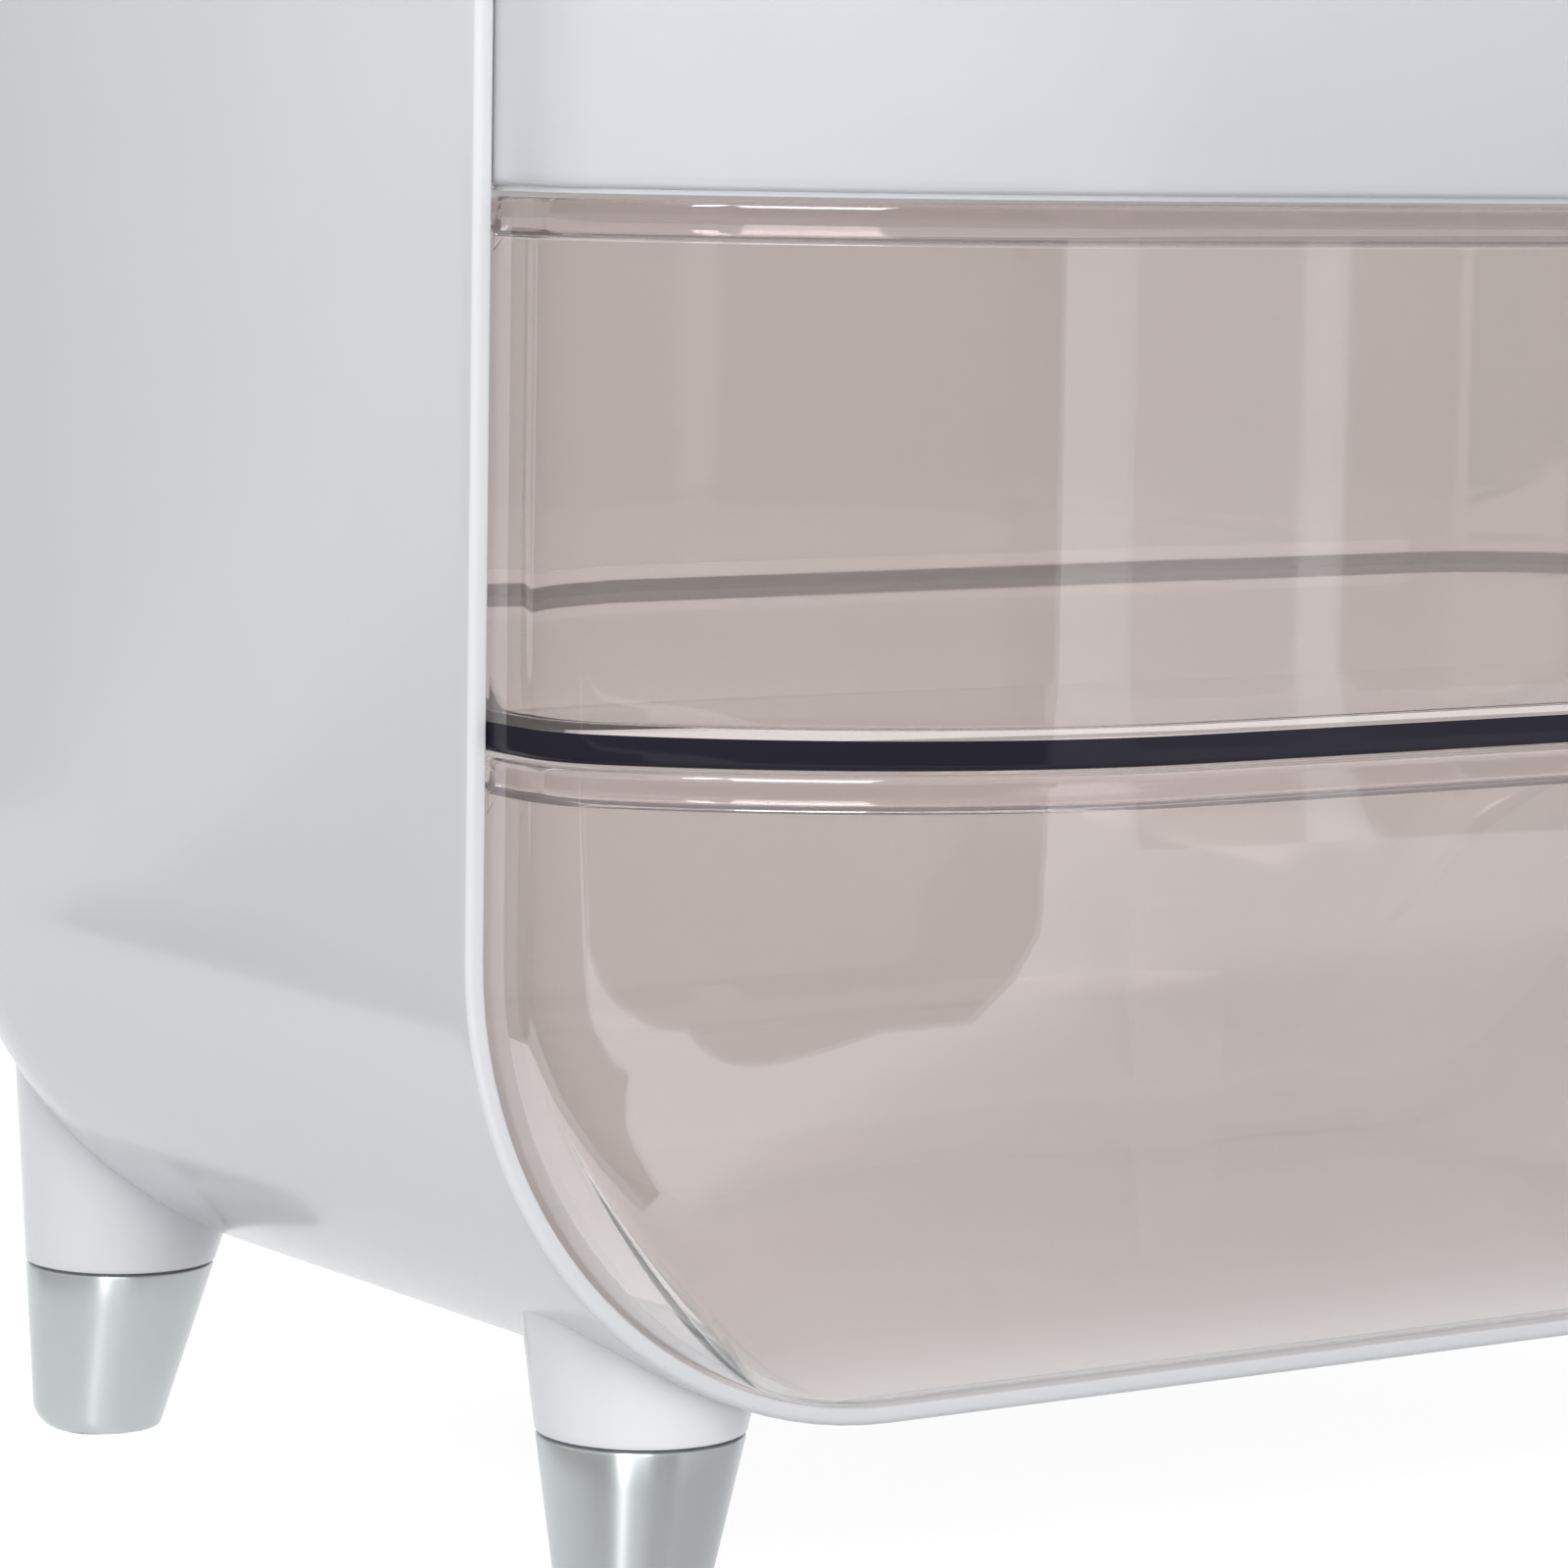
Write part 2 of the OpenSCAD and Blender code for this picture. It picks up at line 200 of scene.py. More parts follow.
def grid_faces(bm, rows, close=False, material=0):
    """Quads between neighbouring rows of vertices."""
    for a, b in zip(rows, rows[1:]):
        n = len(a)
        for i in range(n if close else n - 1):
            j = (i + 1) % n
            quad = [a[i], a[j], b[j], b[i]]
            if len(set(quad)) > 2:
                f = bm.faces.new(quad)
                f.material_index = material


# ---- Materials ----


def bare_nodes(owner):
    """The emptied node tree of a material or a world."""
    owner.use_nodes = True
    owner.node_tree.nodes.clear()
    return owner.node_tree


def new_material(name):
    m = bpy.data.materials.new(name)
    nt = bare_nodes(m)
    out = nt.nodes.new("ShaderNodeOutputMaterial")
    bsdf = nt.nodes.new("ShaderNodeBsdfPrincipled")
    nt.links.new(bsdf.outputs[0], out.inputs["Surface"])
    return m, nt, bsdf, out


def socket(node, name, value):
    if name in node.inputs:
        node.inputs[name].default_value = value


def noise(nt, scale, detail, rough, stretch=(1, 1, 1)):
    coord = nt.nodes.new("ShaderNodeTexCoord")
    mapping = nt.nodes.new("ShaderNodeMapping")
    mapping.inputs["Scale"].default_value = stretch
    tex = nt.nodes.new("ShaderNodeTexNoise")
    tex.inputs["Scale"].default_value = scale
    tex.inputs["Detail"].default_value = detail
    tex.inputs["Roughness"].default_value = rough
    nt.links.new(coord.outputs["Object"], mapping.inputs["Vector"])
    nt.links.new(mapping.outputs[0], tex.inputs["Vector"])
    return tex.outputs["Fac"]


def vary(nt, source, stops, target):
    """Drives an input with a texture, through a ramp from position to value or colour."""
    r = nt.nodes.new("ShaderNodeValToRGB")
    els = r.color_ramp.elements
    for e, (pos, val) in zip(els, stops):
        e.position = pos
        e.color = (*val, 1) if isinstance(val, tuple) else (val, val, val, 1)
    nt.links.new(source, r.inputs["Fac"])
    nt.links.new(r.outputs["Color"], target)


def bump(nt, bsdf, height, strength, distance):
    b = nt.nodes.new("ShaderNodeBump")
    b.inputs["Strength"].default_value = strength
    b.inputs["Distance"].default_value = distance
    nt.links.new(height, b.inputs["Height"])
    nt.links.new(b.outputs[0], bsdf.inputs["Normal"])


def any_ray(nt, path, *kinds):
    """1 for the rays of these kinds, else 0."""
    last = path.outputs[kinds[0]]
    for kind in kinds[1:]:
        either = nt.nodes.new("ShaderNodeMath")
        either.operation = "MAXIMUM"
        nt.links.new(last, either.inputs[0])
        nt.links.new(path.outputs[kind], either.inputs[1])
        last = either.outputs[0]
    return last


def mix_into(nt, out, factor, first, second):
    """Shows the second shader where the factor is 1, and the first where it is 0."""
    mix = nt.nodes.new("ShaderNodeMixShader")
    nt.links.new(factor, mix.inputs["Fac"])
    nt.links.new(first.outputs[0], mix.inputs[1])
    nt.links.new(second.outputs[0], mix.inputs[2])
    nt.links.new(mix.outputs[0], out.inputs["Surface"])


def white_plastic(name, colour, rough, glow=0.0):
    """Glossy white moulding. glow is painted light: the white glows a little, which lifts a white that
    would render too dark beside the photograph.
    """
    m, nt, bsdf, _ = new_material(name)
    darker = tuple(c * 0.985 for c in colour)
    vary(nt, noise(nt, 9, 4, 0.6), [(0.3, darker), (0.7, colour)], bsdf.inputs["Base Color"])
    vary(nt, noise(nt, 60, 6, 0.7), [(0.35, rough), (0.75, rough + 0.07)], bsdf.inputs["Roughness"])
    bump(nt, bsdf, noise(nt, 28, 2, 0.4), 0.03, 0.001)
    socket(bsdf, "IOR", 1.47)
    socket(bsdf, "Coat Weight", 0.25)
    socket(bsdf, "Coat Roughness", 0.06)
    # painted light: the white glows in its own colour by glow, though it is no lamp
    bsdf.inputs["Emission Color"].default_value = (*colour, 1)
    socket(bsdf, "Emission Strength", glow)
    return m


def smoky_plastic(name, colour, shadow, clear_part):
    """Tinted clear moulding. Shadow rays and diffuse rays pass it with the shadow colour."""
    m, nt, bsdf, out = new_material(name)
    socket(bsdf, "Coat Weight", 0.9)
    socket(bsdf, "Coat Roughness", 0.012)
    socket(bsdf, "Coat IOR", 1.5)
    bsdf.inputs["Base Color"].default_value = (*colour, 1)
    socket(bsdf, "Transmission Weight", clear_part)
    socket(bsdf, "IOR", 1.47)
    vary(nt, noise(nt, 14, 5, 0.65), [(0.4, 0.012), (0.8, 0.05)], bsdf.inputs["Roughness"])
    bump(nt, bsdf, noise(nt, 22, 2, 0.4, (1, 1, 0.5)), 0.02, 0.001)
    clear = nt.nodes.new("ShaderNodeBsdfTransparent")
    clear.inputs["Color"].default_value = (*shadow, 1)
    path = nt.nodes.new("ShaderNodeLightPath")
    through = any_ray(nt, path, "Is Shadow Ray", "Is Diffuse Ray")
    mix_into(nt, out, through, bsdf, clear)
    return m


def painted_shade_edge(name):
    """The lower edge of the middle front, painted nearly black as painted shade where the smoky edge looks
    dark.
    """
    m, nt, bsdf, _ = new_material(name)
    stops = [(0.3, (0.014, 0.014, 0.023)), (0.7, (0.020, 0.018, 0.028))]
    vary(nt, noise(nt, 16, 3, 0.5, (0.2, 1, 1)), stops, bsdf.inputs["Base Color"])
    socket(bsdf, "Roughness", 0.08)
    socket(bsdf, "IOR", 1.47)
    socket(bsdf, "Specular IOR Level", 0.2)
    return m


def plated(name, colour):
    """Plated metal, turned round the leg's axis."""
    m, nt, bsdf, _ = new_material(name)
    darker = tuple(c * 0.97 for c in colour)
    vary(nt, noise(nt, 40, 4, 0.6), [(0.3, darker), (0.7, colour)], bsdf.inputs["Base Color"])
    socket(bsdf, "Metallic", 1.0)
    vary(nt, noise(nt, 90, 3, 0.6, (1, 1, 0.2)), [(0.3, 0.29), (0.7, 0.33)], bsdf.inputs["Roughness"])
    round_axis = nt.nodes.new("ShaderNodeTangent")
    round_axis.direction_type = "RADIAL"
    round_axis.axis = "Z"
    nt.links.new(round_axis.outputs[0], bsdf.inputs["Tangent"])
    socket(bsdf, "Anisotropic", 0.85)
    socket(bsdf, "Anisotropic Rotation", 0.25)
    return m


def rubber(name):
    m, nt, bsdf, _ = new_material(name)
    grain = noise(nt, 400, 3, 0.6)
    stops = [(0.3, (0.018, 0.018, 0.02)), (0.7, (0.03, 0.03, 0.034))]
    vary(nt, grain, stops, bsdf.inputs["Base Color"])
    socket(bsdf, "Roughness", 0.7)
    bump(nt, bsdf, grain, 0.3, 0.0003)
    return m


def steel(name):
    m, nt, bsdf, _ = new_material(name)
    stops = [(0.3, (0.42, 0.42, 0.44)), (0.7, (0.55, 0.55, 0.57))]
    vary(nt, noise(nt, 300, 3, 0.6, (1, 1, 0.1)), stops, bsdf.inputs["Base Color"])
    socket(bsdf, "Metallic", 1.0)
    socket(bsdf, "Roughness", 0.32)
    return m


# painted light: the shelves take a lighter white that glows, for light that doesn't reach inside the
# drawers
LIT_SHELF_MAT = white_plastic("shelf_white_painted_glow", (0.92, 0.91, 0.905), 0.3, 0.18)
# painted light: the rim is a lighter copy of the shell's white, for the light it faces
LIT_RIM_MAT = white_plastic("rim_white_painted_light", (0.81, 0.82, 0.84), 0.12)
SHELL_MAT = white_plastic("shell_white", (0.722, 0.732, 0.752), 0.15)
# painted shade: the front panel is a darker copy of the white, offsetting the stronger lamp light on it
SHADED_PANEL_MAT = white_plastic("panel_white_painted_shade", (0.64, 0.648, 0.676), 0.17)
# painted light: the inside is a lighter copy of the shell's white that also glows, for light that doesn't
# reach in
LIT_INSIDE_MAT = white_plastic("inside_white_painted_glow", (0.915, 0.90, 0.893), 0.3, 0.065)
# painted light: the legs are a lighter copy of the white, for the light that the body keeps off them
LIT_LEG_MAT = white_plastic("leg_white_painted_light", (0.86, 0.87, 0.89), 0.2)
SMOKY_MAT = smoky_plastic("smoky_clear", (0.945, 0.89, 0.872), (0.99, 0.98, 0.978), 0.92)
# partly painted shade: a deeper tint for the thick lip, and much darker than the bottom lip of the same
# plastic as painted shade
SHADED_LIP_MAT = smoky_plastic("smoky_lip", (0.60, 0.52, 0.50), (0.97, 0.95, 0.945), 0.88)
LOW_LIP_MAT = smoky_plastic("smoky_lip_low", (0.86, 0.78, 0.77), (0.97, 0.95, 0.945), 0.9)
# painted shade: a nearly opaque dark tint for the crease at the rear of the middle tray's floor
SHADED_CORNER_MAT = smoky_plastic("smoky_corner_painted_shade", (0.10, 0.06, 0.055), (0.8, 0.75, 0.75), 0.05)
# painted shade: the smoky band along the middle front's foot is painted nearly black
SHADED_EDGE_MAT = painted_shade_edge("smoky_edge_painted_shade")
TIP_MAT = plated("plated_tip", (0.55, 0.58, 0.59))
PAD_MAT = rubber("foot_pad")
SCREW_MAT = steel("screw_steel")


# ---- Shell ----

REAR_STEPS = 18
RIM_R = 1.0
RIM_STEPS = 6
EASING_R = 0.4
EASING_STEPS = 4
WALL_YS = (3, 15, 40, 70, 100)


def ring_outline(w, low, top, r, d):
    """Closed rounded rectangle (x, z), drawn in by d, from the end of the left side downwards."""
    corners = [(-w + r, low + r, 180), (w - r, low + r, 270), (w - r, top - r, 0), (-w + r, top - r, 90)]

    def on_corner(k, a):
        cx, cz, a0 = corners[k % 4]
        t = math.radians(a0 + a)
        return cx + (r - d) * math.cos(t), cz + (r - d) * math.sin(t)

    across, up = 14, 8
    pts = []
    for k, n in enumerate((across, up, across, up)):
        pts += [on_corner(k, a) for a in spread(0, 90, 26)]
        (x0, z0), (x1, z1) = pts[-1], on_corner(k + 1, 0)
        pts += [(x0 + (x1 - x0) * i / n, z0 + (z1 - z0) * i / n) for i in range(1, n)]
    return pts


def shell_rings():
    """(inset, y) from the outer back face round the rim to the inner back face."""
    rings = rear_turn(REAR, REAR_START, 0, 90, 0, REAR_STEPS)
    rings += [(0, y) for y in reversed(WALL_YS)]
    rings += rounding(RIM_R, 0, 90, RIM_STEPS)
    rings += [(WALL - d, y) for d, y in rounding(EASING_R, 90, 0, EASING_STEPS)]
    rings += [(WALL, y) for y in WALL_YS]
    return rings + rear_turn(REAR - WALL, REAR_START, WALL, 0, 90, REAR_STEPS)


def make_shell():
    bm = bmesh.new()
    rows = []
    for d, y in shell_rings():
        loop = ring_outline(SHELL_W, -WALL, OPEN_H + WALL, CORNER + WALL, d)
        rows.append([bm.verts.new((x, y, z)) for x, z in loop])
    rim_first = REAR_STEPS + len(WALL_YS) + 2
    rim_last = rim_first + RIM_STEPS + EASING_STEPS + 1
    grid_faces(bm, rows[: rim_first + 1], close=True)
    # the rim and the inside take lighter copies of the shell's white as painted light
    grid_faces(bm, rows[rim_first : rim_last + 1], close=True, material=2)
    grid_faces(bm, rows[rim_last:], close=True, material=1)
    bm.faces.new(rows[0])
    bm.faces.new(rows[-1]).material_index = 1
    return finish_mesh("shell", bm, "cabinet", [SHELL_MAT, LIT_INSIDE_MAT, LIT_RIM_MAT], angle=50)


def inside_block(name, lo, hi):
    """A plain block inside the shell, with eased edges."""
    bm = bmesh.new()
    for v in bmesh.ops.create_cube(bm, size=1.0)["verts"]:
        v.co = tuple(lo[i] if v.co[i] < 0 else hi[i] for i in range(3))
    obj = finish_mesh(name, bm, "cabinet", [LIT_INSIDE_MAT])
    bevel(obj, 0.5, 3)


def make_ribs():
    """The ribs along both sides that carry the two shelves."""
    for k, z in (("lower", MIDDLE_LO), ("upper", TOP_LO)):
        for side, s in (("left", -1), ("right", 1)):
            x = sorted((s * (OPEN_W - RIB_W), s * (OPEN_W + RIB_ROOT)))
            top = z + SHELF_RISE
            inside_block(f"rib_{k}_{side}", (x[0], RIB_FRONT, top - RIB_H), (x[1], REAR_START, top))


def make_floor_stops():
    """The blades that stop the bottom drawer."""
    for side, s in (("left", -1), ("right", 1)):
        x = s * OPEN_W / 2
        y = TRAY_D + GAP
        lo = (x - STOP_W / 2, y, STOP_FOOT)
        hi = (x + STOP_W / 2, y + STOP_T, TRAY_REAR + SHELF_STOP_H)
        inside_block(f"floor_stop_{side}", lo, hi)


# ---- Front forms ----

PILLOW = 4.0
BELLY_OVER = 0.2
FLAT = 1e-4


def plan_y(x):
    """Front of a drawer seen from above, before the cheek is rounded."""
    x = abs(x)
    if x <= END_X:
        return -BULGE
    return END_Y - math.sqrt(max(END_R**2 - (x - END_X) ** 2, 0))


def belly_y(z):
    """Front of the bottom drawer seen from the side, an arc that runs back to its lower edge."""
    reach = BOTTOM_H - LIP - GAP
    crown = BULGE + BELLY_OVER
    r = (crown**2 + reach**2) / (2 * crown)
    dz = reach - (z - GAP)
    if dz <= 0:
        return -BULGE
    return max(-BULGE, r - crown - math.sqrt(max(r * r - dz * dz, 0)))


def pillow_y(x, z):
    """Front of the bottom drawer: bulge across and up, blended in the corners."""
    p = -plan_y(x) / BULGE
    b = -belly_y(z) / BULGE
    if b <= FLAT:
        return 0.0
    return -BULGE * (p**-PILLOW + b**-PILLOW - 1) ** (-1 / PILLOW)


class Column:
    """One place along the U outline of a drawer. Its value is a height on a side, an x on the
    bottom, and an angle in degrees on a corner."""

    def __init__(self, kind, value):
        self.kind, self.value = kind, value

    def at(self, d, top):
        """(x, z) of this place, drawn in by d, where the sides end at the height top."""
        corner_z = GAP + U_RADIUS
        if self.kind in ("left", "right"):
            s = -1 if self.kind == "left" else 1
            f = (self.value - corner_z) / (BOTTOM_H - corner_z)
            return s * (DRAWER_W - d), corner_z + f * (top - corner_z)
        if self.kind == "bottom":
            return self.value, GAP + d
        t = math.radians(self.value)
        corner_x = U_RADIUS - DRAWER_W if self.kind == "left corner" else DRAWER_W - U_RADIUS
        r = U_RADIUS - d
        return corner_x + r * math.cos(t), corner_z + r * math.sin(t)

    def cheek(self):
        """Rounding between the side and the front here."""
        if self.kind in ("left", "right"):
            return CHEEK
        if self.kind == "bottom":
            return LOW_CHEEK
        a = (self.value - 180) / 90 if self.kind == "left corner" else (360 - self.value) / 90
        a = a * a * (3 - 2 * a)
        return CHEEK + (LOW_CHEEK - CHEEK) * a


CORNER_STEPS = 30


def u_columns():
    """The places along the U, and how many of them lie on a side and on the bottom. They are close
    together at the rounded top edge and at the lip's step."""
    heights = [84, 83.95, 83.8, 83.5, 83.1, 82.4, 81.4, 80.5, 80.2, 79.9, 79.5, 78.4, 76, 72.5, 69, 66, 63]
    ends = [71, 75.6, 79, 82.5]
    bottom = sorted([*ends, *[-x for x in ends], *[round(x, 3) for x in spread(-66, 66, 22)]])
    cols = [Column("left", z) for z in heights]
    cols += [Column("left corner", a) for a in spread(180, 270, CORNER_STEPS)]
    cols += [Column("bottom", x) for x in bottom]
    cols += [Column("right corner", a) for a in spread(270, 360, CORNER_STEPS)]
    cols += [Column("right", z) for z in reversed(heights)]
    return cols, len(heights), len(bottom)


EDGE_STEPS = 9
LEAST_SLOPE = 0.05
MOST_REACH = 0.85


class Section:
    """The rounded edge at one column, as points (d, y): front runs from the flat of the front to the
    edge and side from there to the rear. inset is where the flat starts, and y_at gives its y."""

    def __init__(self, front, side, inset, y_at):
        self.front, self.side, self.inset, self.y_at = front, side, inset, y_at


def edge_section(col):
    """Rounds the edge between the front and the side wall at one column."""
    eps = 0.3

    def y_at(d):
        return pillow_y(*col.at(d, BOTTOM_H))

    y0 = y_at(0)
    slope = max((y0 - y_at(eps)) / eps, LEAST_SLOPE)
    inward = Vector((1, -slope)).normalized()
    rearward = Vector((0, 1))
    half = math.acos(max(-1, min(1, inward.dot(rearward)))) / 2
    between = (inward + rearward).normalized()
    reach = min(col.cheek() / math.tan(half), MOST_REACH * (FRONT_BACK - y0))
    r = reach * math.tan(half)
    front, side = [], []
    for k in range(EDGE_STEPS, -1, -1):
        away = reach * k / EDGE_STEPS
        d = away * inward.x
        e = away * math.sin(half)
        lift = max(0, r / math.sin(half) - math.sqrt(max(r * r - e * e, 0)) - away * math.cos(half))
        front.append(Vector((d, y_at(d))) + between * lift)
        if k:
            side.append(Vector((0, y0 + away)) + between * lift)
    side.reverse()
    return Section(front, side, reach * inward.x, y_at)


FRONT_STEPS = [1, 0.9, 0.8, 0.7, 0.6, 0.5, 0.41, 0.33, 0.26, 0.2, 0.15, 0.105, 0.07, 0.04, 0.018]


def u_sheet(bm, flip, back_to):
    """Outer skin of a drawer with the U outline, upside down if flip is set. back_to is None for a
    front alone, or the height of the tray that follows it. Returns how far each vertex lies below
    the top edge, and whether it is on the tray."""
    cols, on_side, on_bottom = u_columns()
    sections = [edge_section(c) for c in cols]
    rows = []
    info = {}

    def add(p, top, tray):
        x, y, z = p
        v = bm.verts.new((x, y, OPEN_H - z if flip else z))
        info[v] = (top - z, tray)
        return v

    def add_row(places, top=BOTTOM_H, tray=False):
        """A row of vertices at one (d, y) for each column."""
        row = []
        for c, (d, y) in zip(cols, places):
            x, z = c.at(d, top)
            row.append(add((x, y, z), top, tray))
        rows.append(row)

    def height(v):
        return OPEN_H - v.co.z if flip else v.co.z

    def on_front(x, level):
        z = height(level)
        return add((x, pillow_y(x, z), z), BOTTOM_H, False)

    def on_rear(x, level):
        return add((x, TRAY_D, height(level)), back_to, True)

    for f in FRONT_STEPS:
        insets = [s.inset + (U_RADIUS - s.inset) * f for s in sections]
        add_row([(d, s.y_at(d)) for d, s in zip(insets, sections)])
    for k in range(EDGE_STEPS + 1):
        add_row([s.front[k] for s in sections])
    for k in range(1, EDGE_STEPS):
        add_row([s.side[k] for s in sections])
    ends = [s.side[-1].y for s in sections]
    for f in (0.5, 1.0):
        add_row([(0, y + (FRONT_BACK - 0.3 - y) * f) for y in ends])
    fill_middle(bm, rows[0], on_side, on_bottom, on_front)
    if back_to is None:
        add_row([(0, FRONT_BACK)] * len(cols))
    else:
        rings = [(0, y) for y in (FRONT_BACK, 8, 25, 50, 75, 100)]
        rings += rear_turn(TRAY_REAR, TRAY_D - TRAY_REAR, 0, 0, 90, 12)
        rings += [(d, TRAY_D) for d in (40, 50, U_RADIUS)]
        for ring in rings:
            add_row([ring] * len(cols), back_to, True)
        fill_middle(bm, rows[-1], on_side, on_bottom, on_rear)
    grid_faces(bm, rows)
    return info


def fill_middle(bm, row, on_side, on_bottom, add_at):
    """Fills the rectangle inside the innermost row of the U. add_at adds a vertex at an x, level
    with another one."""
    first = on_side + CORNER_STEPS + 1
    left, right = row[:on_side], row[-1 : -on_side - 1 : -1]
    bottom = row[first : first + on_bottom]
    grid = []
    for a, b in zip(left, right):
        grid.append([a, *[add_at(v.co.x, a) for v in bottom], b])
    grid.append([row[on_side], *bottom, row[first + on_bottom]])
    grid_faces(bm, grid)


# Below the top edge: the lip's step, and how far down the wall is thickened level
STEP_FROM = 3.75
STEP_TO = 4.35
LEVEL_TO = 6
SKIN_MIDDLE_Y = 30.0


def thicken(bm, info, lip, flip, edge=0.7):
    """Gives a skin its inner side: thicker along the lip, with top edges rounded by edge."""
    bmesh.ops.remove_doubles(bm, verts=bm.verts, dist=MERGE)
    bmesh.ops.recalc_face_normals(bm, faces=bm.faces)
    middle = Vector((0, SKIN_MIDDLE_Y, OPEN_H - CORNER if flip else CORNER))
    outward = sum(f.normal.dot(f.calc_center_median() - middle) * f.calc_area() for f in bm.faces)
    if outward < 0:
        bmesh.ops.reverse_faces(bm, faces=bm.faces)
    bm.normal_update()
    verts = list(bm.verts)
    faces = [list(f.verts) for f in bm.faces]
    rim = [e.link_loops[0] for e in bm.edges if len(e.link_faces) == 1]
    rim = [(loop.vert, loop.link_loop_next.vert) for loop in rim]
    inner = {}
    for v in verts:
        below, tray = info[v]
        n = v.normal.copy()
        if below < LEVEL_TO:
            n = Vector((n.x, n.y, 0)).normalized()
        t = THIN
        if lip and not tray:
            down_step = min(max((below - STEP_FROM) / (STEP_TO - STEP_FROM), 0), 1)
            t = LIP + (THIN - LIP) * down_step
        e = 0.0
        if below < edge:
            e = edge - math.sqrt(max(edge**2 - (edge - below) ** 2, 0))
        inner[v] = bm.verts.new(v.co - n * (t - e))
        v.co = v.co - n * e
    for f in faces:
        bm.faces.new([inner[v] for v in reversed(f)])
    for a, b in rim:
        bm.faces.new([b, a, inner[a], inner[b]])


# ---- Drawers ----


def mark_lip(obj, low, index):
    """The thick lip along the top of a front takes its own, deeper tint; the middle front's lip is darker
    still as painted shade.
    """
    for f in obj.data.polygons:
        c = f.center / MM
        if c.z - FLOOR_Z > low and c.y - RIM_Y < FRONT_UNTIL:
            f.material_index = index


def make_bottom_drawer():
    bm = bmesh.new()
    info = u_sheet(bm, False, BOTTOM_H - TRAY_DROP)
    thicken(bm, info, True, False)
    materials = [SMOKY_MAT, LOW_LIP_MAT]
    obj = finish_mesh("bottom_tub", bm, "bottom_drawer_body", materials, angle=60)
    mark_lip(obj, BOTTOM_H - LIP, 1)
    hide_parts("bottom_drawer")


def tray_plan(half, ys):
    """The right side of a tray from above, to the rear's middle: (x, y, nx, ny)."""
    start = half - TRAY_REAR
    pts = [(half, y, 1, 0) for y in ys]
    pts += arc(start, TRAY_D - TRAY_REAR, TRAY_REAR, 0, math.pi / 2, 14)
    return pts + [(x, TRAY_D, 0, 1) for x in spread(start, 0, 7)[1:]]


def front_plan():
    """The right half of a drawer from above, front middle to rear middle: (x, y, nx, ny)."""
    cx = DRAWER_W - CHEEK
    cy = END_Y - math.sqrt((END_R - CHEEK) ** 2 - (cx - END_X) ** 2)
    turn = math.atan2(cy - END_Y, cx - END_X)
    pts = [(x, -BULGE, 0, -1) for x in spread(0, END_X, 9)[:-1]]
    pts += arc(END_X, END_Y, END_R, -math.pi / 2, turn, 26)
    pts += arc(cx, cy, CHEEK, turn, 0, 14)[1:]
    return pts + tray_plan(DRAWER_W, [-3, FRONT_BACK - 0.3, FRONT_BACK, 10, 40, 80])


def box_plan(half):
    """The right half of a tray with a straight front, in the same way."""
    diagonal = 0.7071
    pts = [(x, 0, 0, -1) for x in spread(0, half, 10)[:-1]]
    pts.append((half, 0, diagonal, -diagonal))
    return pts + tray_plan(half, [FRONT_BACK, 10, 40, 80])


def is_front(p):
    return p[1] < FRONT_UNTIL


def mirrored(pts):
    return [(-x, y, -nx, ny) for x, y, nx, ny in reversed(pts)]


def closed_loop(half_loop):
    return half_loop + mirrored(half_loop[1:-1])


# The middle drawer's materials, in their order. The band along the front's foot and the rear of the floor
# fillet are painted shade.
PLAIN, SHADED_BAND, SHADED_FILLET, TOP_LIP = range(4)


